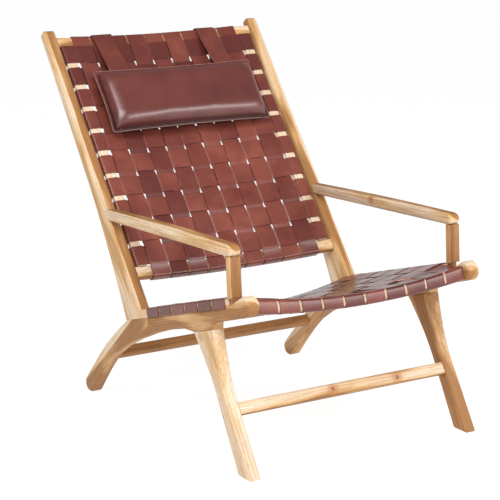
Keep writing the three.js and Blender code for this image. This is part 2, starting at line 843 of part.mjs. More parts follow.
function backStrapRun(column) {
  const rows = [...Array(backRowCount).keys()].reverse();
  const middles = rows.map(backRowMiddle);
  const overs = rows.map((row) => isOver(column, row + 1));
  const round = backRailRound + backRest;
  const low = backRailRound - bottomRailHeight;
  const lowBack = backRailRound - bottomRailDepth;
  const high = backTop - backRailRound;
  const highBack = backRailRound - topRailDepth;
  return [
    runPoint(low + strapTail, -bottomRailDepth - backRest, 0, -1),
    ...bend(low, lowBack, round, -Math.PI / 2, -Math.PI),
    ...bend(low, -backRailRound, round, Math.PI, Math.PI / 2),
    flat(-backRailRound, backRest),
    ...crossings(middles, backRowWidth, overs, backRest, backLift),
    flat(high, backRest),
    ...bend(high, -backRailRound, round, Math.PI / 2, 0).slice(1),
    ...bend(high, highBack, round, 0, -Math.PI / 2),
    runPoint(high - strapTail, -topRailDepth - backRest, 0, -1),
  ];
}

function backStrap(column) {
  const run = backStrapRun(column);
  const middle = backStrapMiddle(column);
  const half = backStrapWidth / 2;
  const edges = [middle - half, middle + half];
  const faces = edges.map(backFace);
  const place = (up, out, side) => new THREE.Vector3(edges[side], up, out + faces[side]);
  return strapSolid(run, run, backLeather, place);
}

function backCrossRun(row) {
  const columns = [...Array(backStrapCount).keys()];
  const middles = columns.map(backStrapMiddle);
  const overs = columns.map((column) => !isOver(column, row + 1));
  const woven = crossings(middles, backStrapWidth, overs, backRest, backLift);
  for (const point of woven) point.out += backFace(point.along);
  const round = battenRound + backRest;
  const wrapAt = battenOuter - battenRound;
  const wrapBack = battenRound - battenDepth;
  const tail = battenInner + battenRound;
  return [
    runPoint(-tail, -battenDepth - backRest, 0, -1),
    ...bend(-wrapAt, wrapBack, round, -Math.PI / 2, -Math.PI),
    ...bend(-wrapAt, -battenRound, round, Math.PI, Math.PI / 2),
    flat(-battenInner, backRest),
    ...woven,
    flat(battenInner, backRest),
    ...bend(wrapAt, -battenRound, round, Math.PI / 2, 0),
    ...bend(wrapAt, wrapBack, round, 0, -Math.PI / 2),
    runPoint(tail, -battenDepth - backRest, 0, -1),
  ];
}

function backCrossStrap(row) {
  const run = backCrossRun(row);
  const middle = backRowMiddle(row);
  const half = backRowWidth / 2;
  const edges = [middle - half, middle + half];
  return strapSolid(run, run, backLeather, (across, out, side) => new THREE.Vector3(across, edges[side], out));
}

// Seat weave
function seatStrapRun(number, x) {
  const rows = [...Array(crossStrapCount).keys()];
  const frontTop = frontRailLevel(x) - restLevel;
  const frontUnder = railUnderside(frontRailLevel, x);
  const rearTop = seatWeave(x) - restLevel;
  const rearUnder = railUnderside(seatWeave, x);
  const round = seatRailRound + restLevel;
  const near = seatRailSetback + seatRailRound;
  const nearBack = seatRailSetback + seatRailDepth - seatRailRound;
  const far = rearRailStart + seatRailRound;
  const farBack = rearRailStart + seatRailDepth - seatRailRound;
  const weave = rows.flatMap((row) => {
    const level = seatWeave(x) + (isOver(number, row) ? seatLift : -seatLift);
    const middle = crossStrapMiddle(row);
    return [flat(middle - crossStrapWidth / 2, level), flat(middle + crossStrapWidth / 2, level)];
  });
  return [
    runPoint(nearBack, frontUnder - restLevel, 0, -1),
    ...bend(near, frontUnder + seatRailRound, round, -Math.PI / 2, -Math.PI),
    ...bend(near, frontTop - seatRailRound, round, Math.PI, Math.PI / 2),
    flat(nearBack, frontRailLevel(x)),
    ...weave,
    flat(far, rearTop + restLevel),
    ...bend(farBack, rearTop - seatRailRound, round, Math.PI / 2, 0),
    ...bend(farBack, rearUnder + seatRailRound, round, 0, -Math.PI / 2),
    runPoint(far, rearUnder - restLevel, 0, -1),
  ];
}

function seatStrap(number) {
  const half = longStrapWidth / 2;
  const edges = [longStrapMiddle(number) - half, longStrapMiddle(number) + half];
  const runs = edges.map((x) => seatStrapRun(number, x));
  const place = (along, above, side) => new THREE.Vector3(edges[side], along, above);
  return strapSolid(runs[0], runs[1], seatLeather, place);
}

function seatCrossRun(row) {
  const round = tongueRound + restLevel;
  const bottom = jointLevel + fit;
  const wrapAt = tongueOuter - tongueRound;
  const topAt = innerFace + tongueRound;
  const faceAt = tongueOuter + restLevel;
  const weave = [...Array(longStrapCount).keys()].flatMap((number) => {
    const lift = isOver(number, row) ? -seatLift : seatLift;
    const left = longStrapMiddle(number) - longStrapWidth / 2;
    const right = longStrapMiddle(number) + longStrapWidth / 2;
    return [flat(left, seatWeave(left) + lift), flat(right, seatWeave(right) + lift)];
  });
  return [
    runPoint(-faceAt, bottom, -1, 0),
    ...bend(-wrapAt, -tongueRound, round, Math.PI, Math.PI / 2),
    flat(-topAt, restLevel),
    ...weave,
    flat(topAt, restLevel),
    ...bend(wrapAt, -tongueRound, round, Math.PI / 2, 0),
    runPoint(faceAt, bottom, 1, 0),
  ];
}

function seatCrossStrap(row) {
  const run = seatCrossRun(row);
  const half = crossStrapWidth / 2;
  const edges = [crossStrapMiddle(row) - half, crossStrapMiddle(row) + half];
  const place = (across, above, side) => new THREE.Vector3(across, edges[side], above);
  return strapSolid(run, run, seatLeather, place);
}

// Head cushion: a crowned pad with drawn-in sides
const cushionMiddle = rowSpan - cushionBelowRail - cushionHeight / 2;

// Points crowd towards the rim, where the crown turns down
function gridShare(step, count) {
  return Math.sin((step / count - 1 / 2) * Math.PI);
}

function crown(u, v) {
  return Math.sqrt(Math.max(0, (1 - u ** 4) * (1 - v ** 4)));
}

// Its back lies against the weave
function cushionPoint(u, v, face) {
  const x = cushionWidth / 2 * u * (1 - cushionSidePullShare * (1 - v * v));
  const y = cushionHeight / 2 * v * (1 - cushionTopPullShare * (1 - u * u));
  const weaveFront = backFace(x) + backRest + backLift + backHalf;
  const bulge = face > 0 ? cushionFrontBulge : weaveFront + fit - cushionStandOff;
  return new THREE.Vector3(x, y, bulge * crown(u, v));
}

function headCushion() {
  const positions = [];
  const index = [];
  const ids = new Map();
  const idOf = (column, row, face) => {
    const onRim = column === 0 || row === 0 || column === cushionColumnCount || row === cushionRowCount;
    const key = `${column} ${row} ${onRim ? 0 : face}`;
    if (!ids.has(key)) {
      const point = cushionPoint(gridShare(column, cushionColumnCount), gridShare(row, cushionRowCount), face);
      ids.set(key, positions.length / 3);
      positions.push(point.x, point.y, onRim ? 0 : point.z);
    }
    return ids.get(key);
  };
  for (let column = 0; column < cushionColumnCount; column += 1) {
    for (let row = 0; row < cushionRowCount; row += 1) {
      for (const face of [1, -1]) {
        const a = idOf(column, row, face);
        const b = idOf(column + 1, row, face);
        const c = idOf(column + 1, row + 1, face);
        const d = idOf(column, row + 1, face);
        if (face > 0) index.push(a, b, c, a, c, d);
        else index.push(a, c, b, a, d, c);
      }
    }
  }
  const geometry = new THREE.BufferGeometry();
  geometry.setAttribute("position", new THREE.Float32BufferAttribute(positions, 3));
  geometry.setIndex(index);
  return geometry;
}

// Hanging straps: they leave the top rail's front edge on a tangent and run to the cushion's top seam
const hangRest = backRest + backLift;
const hangRound = backRailRound + hangRest;
const hangOuter = (hangStrapSpacing + hangStrapWidth) / 2;
const hangInner = (hangStrapSpacing - hangStrapWidth) / 2;
const hangCentre = new THREE.Vector2(backTop - backRailRound, backFace(hangOuter) - backRailRound);
const seamHeight = cushionMiddle + cushionHeight / 2 * (1 - cushionTopPullShare * (1 - (2 * hangOuter / cushionWidth) ** 2));
const hangEnd = new THREE.Vector2(seamHeight + fit, cushionStandOff);
const hangReach = hangEnd.clone().sub(hangCentre);
const leaveAngle = Math.atan2(hangReach.y, hangReach.x) - Math.acos(hangRound / hangReach.length());
const leaveNormal = new THREE.Vector2(Math.cos(leaveAngle), Math.sin(leaveAngle));
const hingePoint = hangCentre.clone().addScaledVector(leaveNormal, hangRound);

// The fixed end stops short of the hinge line by the strap's own half thickness
function anchorRun() {
  const shortBy = (backHalf + fit) / hangRound;
  const rear = backFace(hangInner) - topRailDepth;
  const tailAt = hangCentre.x - hangTail;
  return [
    ...bend(hangCentre.x, hangCentre.y, hangRound, leaveAngle - shortBy, 0),
    ...bend(hangCentre.x, rear + backRailRound, hangRound, 0, -Math.PI / 2),
    runPoint(tailAt, rear - hangRest, 0, -1),
  ];
}

function hangAnchor() {
  const run = anchorRun();
  const edges = [-hangStrapWidth / 2, hangStrapWidth / 2];
  return strapSolid(run, run, backLeather, (up, out, side) => new THREE.Vector3(edges[side], up, out));
}

// The moving strap: a round end on the hinge line, then straight to the cushion
function hangStrap() {
  const end = hangEnd.clone().sub(hingePoint);
  const along = end.clone().normalize();
  const across = new THREE.Vector2(-along.y, along.x).multiplyScalar(backHalf);
  const shape = new THREE.Shape();
  const start = Math.atan2(across.y, across.x);
  shape.absarc(0, 0, backHalf, start, start + Math.PI, false);
  shape.lineTo(end.x - across.x, end.y - across.y);
  shape.lineTo(end.x + across.x, end.y + across.y);
  const geometry = new THREE.ExtrudeGeometry(shape, {
    depth: hangStrapWidth,
    bevelEnabled: false,
    curveSegments: bendStepCount,
  });
  geometry.translate(0, 0, -hangStrapWidth / 2);
  return geometry.applyMatrix4(sideView);
}

// Assembly
const chair = new THREE.Group();
chair.add(seatGroup, backGroup);

function add(parent, name, geometry, material) {
  const piece = new THREE.Mesh(geometry, material);
  piece.name = name;
  parent.add(piece);
  return piece;
}

function addPair(parent, name, geometry, material) {
  add(parent, `${name}_right`, geometry, material());
  add(parent, `${name}_left`, mirrored(geometry), material());
}

function addNamed(parent, name, piece) {
  piece.name = name;
  parent.add(piece);
}

addPair(chair, "side_rail", sideRail(), wood);
addPair(chair, "front_leg", frontLeg(), wood);
addPair(chair, "back_stile", backStile(), wood);
addPair(chair, "arm_post", armPost(), wood);
addPair(chair, "armrest", armrest(), wood);
addNamed(chair, "front_stretcher", stretcher(frontStretcherPlace));
addNamed(chair, "rear_stretcher", stretcher(rearStretcherPlace));

add(backGroup, "top_back_rail", backRail(rowSpan, topRailHeight, topRailDepth, topRailTenon), wood());
add(
  backGroup, "bottom_back_rail",
  backRail(-bottomRailHeight, bottomRailHeight, bottomRailDepth, bottomRailTenon), wood(),
);
addPair(backGroup, "back_batten", batten(), wood);
for (let column = 0; column < backStrapCount; column += 1) {
  add(backGroup, `back_strap_${column + 1}`, backStrap(column), leather());
}
for (let row = 0; row < backRowCount; row += 1) {
  add(backGroup, `back_cross_strap_${row + 1}`, backCrossStrap(row), leather());
}

add(
  seatGroup, "front_seat_rail",
  seatRail(frontRailLevel, seatRailSetback, frontRailTenonLevel, frontRailTenon), wood(),
);
add(seatGroup, "rear_seat_rail", seatRail(seatWeave, rearRailStart, rearRailTenonLevel, rearRailTenon), wood());
for (let number = 0; number < longStrapCount; number += 1) {
  add(seatGroup, `seat_strap_${number + 1}`, seatStrap(number), leather());
}
for (let row = 0; row < crossStrapCount; row += 1) {
  add(seatGroup, `seat_cross_strap_${row + 1}`, seatCrossStrap(row), leather());
}

const cushion = add(backGroup, "head_cushion", headCushion(), padLeather());
cushion.position.set(0, cushionMiddle, cushionStandOff);
for (const [side, sign] of [["right", 1], ["left", -1]]) {
  const x = sign * hangStrapSpacing / 2;
  add(backGroup, `hang_anchor_${side}`, hangAnchor(), leather()).position.x = x;
  add(backGroup, `hang_strap_${side}`, hangStrap(), leather()).position.set(x, hingePoint.x, hingePoint.y);
}

// The origin is on the floor, under the middle of the chair's length
const extent = new THREE.Box3().setFromObject(chair, true);
chair.position.set(0, -(extent.min.y + extent.max.y) / 2, -extent.min.z);

export default chair;
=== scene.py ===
# Leather sling lounge chair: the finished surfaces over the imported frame.
# Metres, +Z up, the sitter faces -Y, the floor is z = 0.

import math
import random

import bmesh
import bpy
from mathutils import Matrix, Vector, noise


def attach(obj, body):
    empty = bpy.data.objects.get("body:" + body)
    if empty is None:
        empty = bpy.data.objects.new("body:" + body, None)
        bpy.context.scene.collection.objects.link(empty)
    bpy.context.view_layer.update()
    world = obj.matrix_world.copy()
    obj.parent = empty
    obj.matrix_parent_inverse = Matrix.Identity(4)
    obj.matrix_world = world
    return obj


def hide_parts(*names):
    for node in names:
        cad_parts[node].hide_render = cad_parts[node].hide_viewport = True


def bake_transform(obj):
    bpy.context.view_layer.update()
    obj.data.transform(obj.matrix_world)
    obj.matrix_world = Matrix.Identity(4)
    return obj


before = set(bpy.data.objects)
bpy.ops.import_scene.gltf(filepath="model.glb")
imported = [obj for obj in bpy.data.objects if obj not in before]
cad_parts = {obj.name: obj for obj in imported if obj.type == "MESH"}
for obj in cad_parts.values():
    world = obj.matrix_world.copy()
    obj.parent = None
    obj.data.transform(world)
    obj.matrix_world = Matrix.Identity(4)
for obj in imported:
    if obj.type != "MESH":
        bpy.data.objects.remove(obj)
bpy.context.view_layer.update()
scene = bpy.context.scene

MM = 0.001
SAME_POINT = 0.02 * MM


# ---- the chair's two leaning frames

INNER_FACE = 293 * MM
SEAT_SLOPE = math.radians(16.4)
SEAT_ORIGIN = Vector((0, -498.92, 426.7)) * MM
SEAT_BACK = Vector((0, math.cos(SEAT_SLOPE), -math.sin(SEAT_SLOPE)))
SEAT_UP = Vector((0, math.sin(SEAT_SLOPE), math.cos(SEAT_SLOPE)))
RECLINE = math.radians(38)
BACK_ORIGIN = Vector((0, 70.45, 371.09)) * MM
BACK_UP = Vector((0, math.sin(RECLINE), math.cos(RECLINE)))
BACK_OUT = Vector((0, -math.cos(RECLINE), math.sin(RECLINE)))
ACROSS = Vector((1, 0, 0))


def on_seat(x, along, above):
    return SEAT_ORIGIN + ACROSS * x + SEAT_BACK * along + SEAT_UP * above


def on_back(x, up, out):
    return BACK_ORIGIN + ACROSS * x + BACK_UP * up + BACK_OUT * out


def leaning(angle):
    """A direction in the side view, from an angle in degrees above the rearward level."""
    turn = math.radians(angle)
    return Vector((0, math.cos(turn), math.sin(turn)))


# ---- meshes

def as_mesh(name, bm):
    mesh = bpy.data.meshes.new(name)
    bm.to_mesh(mesh)
    bm.free()
    return mesh


def new_object(name, bm, materials):
    mesh = as_mesh(name, bm)
    piece = bpy.data.objects.new(name, mesh)
    scene.collection.objects.link(piece)
    for material in materials:
        mesh.materials.append(material)
    return piece


def smooth(piece, angle=35):
    """Smooth shading, apart from edges that turn by more than the angle in degrees."""
    piece.data.shade_smooth()
    piece.data.set_sharp_from_angle(angle=math.radians(angle))


def merged_copy(node_name):
    """The node's loose triangles as one joined mesh."""
    bm = bmesh.new()
    bm.from_mesh(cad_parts[node_name].data)
    bmesh.ops.remove_doubles(bm, verts=bm.verts, dist=SAME_POINT)
    return bm


def add_bevel(piece, width):
    bevel = piece.modifiers.new("soft_edges", "BEVEL")
    bevel.width = width
    bevel.segments = 2
    bevel.limit_method = "ANGLE"
    bevel.angle_limit = math.radians(30)
    bevel.harden_normals = True


# ---- shader helpers

def colour(red, green, blue):
    """A linear colour from screen values of 0 to 255."""
    parts = [value / 255 for value in (red, green, blue)]
    return tuple(((v + 0.055) / 1.055) ** 2.4 if v > 0.04045 else v / 12.92 for v in parts) + (1,)


class Graph:
    """Adds and joins the nodes of one material or group."""

    def __init__(self, tree):
        self.tree = tree

    def join(self, value, socket):
        """Feeds a socket from another one, or sets it to a constant."""
        if isinstance(value, bpy.types.NodeSocket):
            self.tree.links.new(value, socket)
        else:
            socket.default_value = value

    def fill(self, sockets, **values):
        """Joins each value to the socket of its name, written with _ for a space."""
        for key, value in values.items():
            self.join(value, sockets[key.replace("_", " ")])

    def add(self, kind, values=None, **settings):
        node = self.tree.nodes.new(kind)
        for key, value in settings.items():
            setattr(node, key, value)
        for key, value in (values or {}).items():
            self.join(value, node.inputs[key])
        return node

    def place_group(self, tree, **values):
        node = self.add("ShaderNodeGroup", node_tree=tree)
        self.fill(node.inputs, **values)
        return node.outputs

    def object_place(self):
        return self.add("ShaderNodeTexCoord").outputs["Object"]

    def attribute(self, name):
        return self.add("ShaderNodeAttribute", attribute_name=name).outputs

    def math(self, operation, a, b=0.0):
        return self.add("ShaderNodeMath", {0: a, 1: b}, operation=operation).outputs[0]

    def times(self, a, b):
        return self.math("MULTIPLY", a, b)

    def vector(self, operation, a, b):
        return self.add("ShaderNodeVectorMath", {0: a, 1: b}, operation=operation).outputs[0]

    def length(self, vector):
        return self.add("ShaderNodeVectorMath", {0: vector}, operation="LENGTH").outputs["Value"]

    def mix(self, share, a, b):
        """Colour a turning to colour b as the share goes from 0 to 1."""
        return self.add("ShaderNodeMix", {0: share, 6: a, 7: b}, data_type="RGBA").outputs[2]

    def span(self, value, low, high, to_low=0.0, to_high=1.0):
        """The value remapped smoothly from one range to another and held at its ends."""
        values = {"Value": value, "From Min": low, "From Max": high, "To Min": to_low, "To Max": to_high}
        return self.add("ShaderNodeMapRange", values, interpolation_type="SMOOTHSTEP").outputs["Result"]

    def noise(self, vector, scale, detail=2.0, roughness=0.5):
        values = {"Vector": vector, "Scale": scale, "Detail": detail, "Roughness": roughness}
        return self.add("ShaderNodeTexNoise", values).outputs["Fac"]

    def bump(self, height, strength, distance):
        values = {"Height": height, "Strength": strength, "Distance": distance}
        return self.add("ShaderNodeBump", values).outputs[0]


def make_group(name, vectors, numbers, results):
    """A node group with vector and number inputs, whose results are numbers that change over the surface."""
    tree = bpy.data.node_groups.new(name, "ShaderNodeTree")
    kinds = (vectors, "INPUT", "Vector"), (numbers, "INPUT", "Float"), (results, "OUTPUT", "Float")
    for labels, way, kind in kinds:
        for label in labels:
            tree.interface.new_socket(name=label, in_out=way, socket_type=f"NodeSocket{kind}")
    graph = Graph(tree)
    source = tree.nodes.new("NodeGroupInput")
    sink = tree.nodes.new("NodeGroupOutput")
    return tree, graph, source.outputs, sink.inputs


def new_material(name):
    """An empty material, the graph of its nodes, and the sockets of its surface."""
    material = bpy.data.materials.new(name)
    material.use_nodes = True
    tree = material.node_tree
    tree.nodes.clear()
    graph = Graph(tree)
    shader = graph.add("ShaderNodeBsdfPrincipled")
    output = graph.add("ShaderNodeOutputMaterial")
    graph.join(shader.outputs[0], output.inputs["Surface"])
    return material, graph, shader.inputs


# ---- shared effects

def timber_grain_group():
    """Growth rings, fibres and pores along a piece, from its grain coordinate in metres."""
    tree, graph, given, out = make_group(
        "timber_grain", ["Grain"], ["Ring Density", "Waviness"],
        ["Rings", "Fibres", "Pores", "Patches", "Depth"],
    )
    drawn = graph.vector("MULTIPLY", given["Grain"], (0.09, 1, 1))
    sway = graph.add("ShaderNodeTexNoise", {"Vector": drawn, "Scale": 26.0, "Detail": 3.0, "Roughness": 0.55})
    centred = graph.vector("SUBTRACT", sway.outputs["Color"], (0.5, 0.5, 0.5))
    scaled = graph.add("ShaderNodeVectorMath", {0: centred, "Scale": given["Waviness"]}, operation="SCALE")
    bent = graph.vector("ADD", drawn, scaled.outputs[0])
    rings = graph.add(
        "ShaderNodeTexWave",
        {
            "Vector": bent, "Scale": given["Ring Density"], "Distortion": 3.2,
            "Detail": 3.0, "Detail Scale": 1.6, "Detail Roughness": 0.6,
        },
        wave_type="RINGS", rings_direction="X", wave_profile="SAW",
    )
    strands = graph.vector("MULTIPLY", given["Grain"], (8, 430, 430))
    streaks = graph.vector("MULTIPLY", given["Grain"], (55, 1500, 1500))
    areas = graph.vector("MULTIPLY", given["Grain"], (4.5, 26, 26))
    graph.fill(
        out,
        Rings=rings.outputs["Fac"],
        Fibres=graph.noise(strands, 1.0, 4.0, 0.6),
        Pores=graph.span(graph.noise(streaks, 1.0, 1.0), 0.62, 0.74),
        Patches=graph.noise(areas, 1.0),
        Depth=graph.length(graph.vector("MULTIPLY", bent, (0, 1, 1))),
    )
    return tree


def knot_group():
    """A round knot at a place on the piece, with the dark ring round it."""
    tree, graph, given, out = make_group("knot", ["Place", "Centre"], ["Radius"], ["Heart", "Ring"])
    away = graph.vector("SUBTRACT", given["Place"], given["Centre"])
    ripple = graph.times(graph.noise(given["Place"], 160.0), 0.006)
    reach = graph.math("ADD", graph.length(away), graph.math("SUBTRACT", ripple, 0.003))
    share = graph.math("DIVIDE", reach, given["Radius"])
    graph.fill(out, Heart=graph.span(share, 0.85, 0.35), Ring=graph.span(share, 2.6, 1.0))
    return tree


def hide_group():
    """Leather's pebbled grain, creases, clouding and scuffs, at real size from places in metres."""
    tree, graph, given, out = make_group(
        "hide", ["Place"], ["Pebble Density", "Crease Density"], ["Height", "Clouds", "Specks", "Scuffs"],
    )
    cells = {"Vector": given["Place"], "Scale": given["Pebble Density"]}
    pebbles = graph.add("ShaderNodeTexVoronoi", cells, feature="SMOOTH_F1").outputs["Distance"]
    creases = graph.noise(given["Place"], given["Crease Density"], 5.0, 0.62)
    folded = graph.math("ABSOLUTE", graph.math("SUBTRACT", creases, 0.5))
    valley = graph.span(folded, 0.0, 0.05)
    stretched = graph.vector("MULTIPLY", given["Place"], (30, 90, 60))
    graph.fill(
        out,
        Height=graph.math("ADD", graph.times(pebbles, 0.55), graph.times(valley, 0.45)),
        Clouds=graph.noise(given["Place"], 11.0, 4.0, 0.55),
        Specks=graph.noise(given["Place"], 420.0, 2.0, 0.6),
        Scuffs=graph.span(graph.noise(stretched, 1.0, 6.0, 0.7), 0.60, 0.72),
    )
    return tree


timber_grain = timber_grain_group()
knot = knot_group()
hide = hide_group()


# ---- materials

PALE_SAPWOOD = colour(234, 212, 185)
# How brown the timber is where each deeper tone sets in, how brown where it is full, and the tone.
DEEPER_TONES = [
    (0.05, 0.36, colour(226, 194, 152)),
    (0.36, 0.54, colour(206, 161, 107)),
    (0.56, 0.86, colour(164, 113, 63)),
    (0.95, 1.30, colour(124, 76, 40)),
]
# Each knot's place and radius in millimetres.
KNOTS = [
    ((-35.6, -419.4, 143.7), 8.5),
    ((150.6, -420.4, 142.1), 9.0),
    ((296.0, -108.0, 506.0), 7.0),
    ((-316.0, -300.0, 287.0), 7.5),
]


def timber_material():
    """Pale sapwood that turns to brown heartwood along the grain, with a share of it for each piece."""
    material, graph, surface = new_material("timber_oiled")
    grain = graph.attribute("grain")["Vector"]
    tone_and_painted_shade = graph.attribute("tone")["Fac"]
    heart_radius = graph.attribute("heart")["Fac"]
    place = graph.object_place()
    wood = graph.place_group(timber_grain, Grain=grain, Ring_Density=62.0, Waviness=0.016)
    past_heart = graph.math("SUBTRACT", wood["Depth"], heart_radius)
    heartwood = graph.span(past_heart, 0.003, -0.003, -0.3, 0.3)
    patches = graph.span(wood["Patches"], 0.32, 0.68, -0.28, 0.28)
    browning = graph.math("ADD", graph.math("ADD", patches, heartwood), tone_and_painted_shade)
    tone = PALE_SAPWOOD
    for sets_in, full, deeper in DEEPER_TONES:
        tone = graph.mix(graph.span(browning, sets_in, full), tone, deeper)
    late_wood = graph.span(wood["Rings"], 0.30, 1.0)
    ring_strength = graph.span(browning, 0.2, 0.8, 0.32, 0.62)
    ring_tone = graph.mix(graph.span(browning, 0.3, 0.8), colour(204, 162, 112), colour(118, 82, 43))
    tone = graph.mix(graph.times(late_wood, ring_strength), tone, ring_tone)
    tone = graph.mix(graph.span(wood["Fibres"], 0.35, 0.75, 0.0, 0.6), tone, colour(150, 104, 58))
    tone = graph.mix(graph.times(wood["Pores"], 0.72), tone, colour(104, 66, 36))
    for centre, radius in KNOTS:
        middle = tuple(v * MM for v in centre)
        mark = graph.place_group(knot, Place=place, Centre=middle, Radius=radius * MM)
        tone = graph.mix(graph.times(mark["Ring"], 0.6), tone, colour(178, 116, 62))
        tone = graph.mix(graph.times(mark["Heart"], 0.75), tone, colour(120, 72, 38))
    relief = graph.math("SUBTRACT", graph.times(wood["Fibres"], 0.6), graph.times(wood["Pores"], 0.8))
    graph.fill(
        surface, Base_Color=tone, Roughness=graph.span(wood["Fibres"], 0.2, 0.8, 0.50, 0.66),
        Normal=graph.bump(relief, 0.35, 0.0004), IOR=1.45,
    )
    return material


def leather_material(name, base, light, dark, pebbles, creases, depth, roughness, coat, scuffing):
    """Finished leather: its tone comes from the clouding and from the piece's tone attribute, which on some
    pieces carries painted shade.

    Pebbles and creases are densities per metre, depth is the grain's in metres, and roughness has a low and
    a high. Coat is the coat's weight, its roughness and the leather's IOR, and scuffing shows the scuffs.
    """
    material, graph, surface = new_material(name)
    tone_and_painted_shade = graph.attribute("tone")["Fac"]
    place = graph.object_place()
    skin = graph.place_group(hide, Place=place, Pebble_Density=pebbles, Crease_Density=creases)
    tone = graph.mix(graph.span(skin["Clouds"], 0.48, 0.68), base, light)
    tone = graph.mix(graph.span(skin["Clouds"], 0.48, 0.32, 0.0, 0.4), tone, dark)
    tone = graph.mix(graph.span(tone_and_painted_shade, 0.5, 1.0), tone, light)
    tone = graph.mix(graph.span(tone_and_painted_shade, 0.5, 0.0), tone, dark)
    tone = graph.mix(graph.span(skin["Specks"], 0.42, 0.75, 0.0, 0.3), tone, dark)
    tone = graph.mix(graph.times(skin["Scuffs"], scuffing), tone, colour(150, 92, 80))
    clouded = graph.span(skin["Clouds"], 0.25, 0.75, *roughness)
    scuffed = graph.times(skin["Scuffs"], 0.12)
    coat_weight, coat_roughness, ior = coat
    graph.fill(
        surface, Base_Color=tone, Roughness=graph.math("ADD", clouded, scuffed),
        Normal=graph.bump(skin["Height"], 0.5, depth),
        Coat_Weight=coat_weight, Coat_Roughness=coat_roughness, IOR=ior,
    )
    return material


def raw_edge_material():
    """The cut edge of a strap, pale where the dye stops, with dark patches that are partly stain and partly
    painted shade between the straps.
    """
    material, graph, surface = new_material("leather_cut_edge")
    place = graph.object_place()
    fibres = graph.noise(place, 900.0, 4.0, 0.7)
    stain_and_shade = graph.noise(place, 14.0, 3.0)
    tone = graph.mix(graph.span(fibres, 0.3, 0.7), colour(220, 178, 158), colour(178, 128, 110))
    # Dark patches: partly stain, partly painted shade for the gaps between straps.
    tone = graph.mix(graph.span(stain_and_shade, 0.33, 0.47, 0.0, 0.92), tone, colour(84, 42, 36))
    graph.fill(
        surface, Base_Color=tone, Roughness=graph.span(fibres, 0.2, 0.8, 0.62, 0.85),
        Normal=graph.bump(fibres, 0.5, 0.0003),
    )
    return material


def flesh_side_material():
    """The undyed, brushed back of the hide."""
    material, graph, surface = new_material("leather_flesh_side")
    place = graph.object_place()
    nap = graph.noise(place, 700.0, 5.0, 0.7)
    clouds = graph.noise(place, 16.0, 3.0)
    tone = graph.mix(graph.span(clouds, 0.3, 0.7), colour(146, 88, 70), colour(120, 66, 54))
    tone = graph.mix(graph.span(nap, 0.35, 0.7, 0.0, 0.5), tone, colour(176, 118, 94))
    graph.fill(
        surface, Base_Color=tone, Roughness=graph.span(nap, 0.2, 0.8, 0.78, 0.95),
        Normal=graph.bump(nap, 0.6, 0.0005),
    )
    return material


def thread_material():
    """The cushion's pale waxed thread."""
    material, graph, surface = new_material("waxed_thread")
    twist = graph.noise(graph.object_place(), 1500.0)
    tone = graph.mix(graph.span(twist, 0.3, 0.7), colour(232, 200, 186), colour(190, 146, 132))
    graph.fill(surface, Base_Color=tone, Normal=graph.bump(twist, 0.4, 0.0002), Roughness=0.6)
    return material


def tack_material():
    """Brass with a dull bloom in patches."""
    material, graph, surface = new_material("tack_brass")
    tarnish = graph.noise(graph.object_place(), 260.0, 3.0)
    tone = graph.mix(graph.span(tarnish, 0.4, 0.7), colour(176, 142, 84), colour(112, 84, 48))
    graph.fill(surface, Base_Color=tone, Roughness=graph.span(tarnish, 0.3, 0.75, 0.28, 0.5), Metallic=1.0)
    return material


timber = timber_material()
strap_leather = leather_material(
    "strap_leather", base=colour(120, 60, 49), light=colour(137, 72, 58), dark=colour(86, 36, 32),
    pebbles=780.0, creases=70.0, depth=0.0002, roughness=(0.26, 0.40), coat=(0.28, 0.2, 1.42), scuffing=0.16,
)
cushion_leather = leather_material(
    "cushion_leather", base=colour(97, 42, 36), light=colour(104, 47, 40), dark=colour(58, 25, 23),
    pebbles=1100.0, creases=95.0, depth=0.00015, roughness=(0.28, 0.35), coat=(0.6, 0.36, 1.5), scuffing=0.0,
)
raw_edge = raw_edge_material()
flesh_side = flesh_side_material()
thread = thread_material()
brass = tack_material()
strap_finish = [strap_leather, raw_edge, flesh_side]


# ---- timber

# Each board's share of brown, its pith's place up and sideways from its middle, and how far from the pith
# its brown heartwood reaches. The lengths are in millimetres.
BOARDS = {
    "side_rail_left": (0.43, (10, -12), 34),
    "side_rail_right": (0.43, (10, -12), 34),
    "front_leg_left": (0.50, (30, 20), 24),
    # Painted shade in part: the right front leg's deep brown is partly its heartwood and partly stands in for
    # the shade under the seat.
    "front_leg_right": (0.96, (8, -34), 8),
    "back_stile_left": (0.63, (-18, 16), 23),
    "back_stile_right": (0.35, (-6, -12), 27),
    "arm_post_left": (0.57, (-12, 10), 20),
    "arm_post_right": (0.77, (-12, 10), 26),
    "armrest_left": (0.50, (-15, 9), 18),
    "armrest_right": (0.50, (-15, 9), 18),
    "back_batten_left": (0.0, (20, 20), 10),
    "back_batten_right": (0.0, (20, 20), 10),
    "top_back_rail": (0.52, (12, -9), 26),
    "bottom_back_rail": (0.5, (12, -9), 26),
    "front_seat_rail": (0.3, (12, -9), 8),
    "rear_seat_rail": (0.4, (12, -9), 8),
    "front_stretcher": (0.66, (12, -9), 17),
    # Painted shade in part: the rear stretcher's deep brown is partly its heartwood and partly stands in for
    # the shade under the seat.
    "rear_stretcher": (0.82, (12, -9), 60),
}
CROSS_BOARDS = [name for name in BOARDS if name.endswith(("rail", "stretcher"))]
REAR_LEG_TONES = (0.52, 0.48)
LEG_JOINT = on_seat(0, 478 * MM, 0)
EDGE_ROUND = 1.4 * MM
BATTEN_EDGE_ROUND = 1.0 * MM
FLAT_ANGLE = math.radians(0.5)
SHARP_ANGLE = math.radians(22)


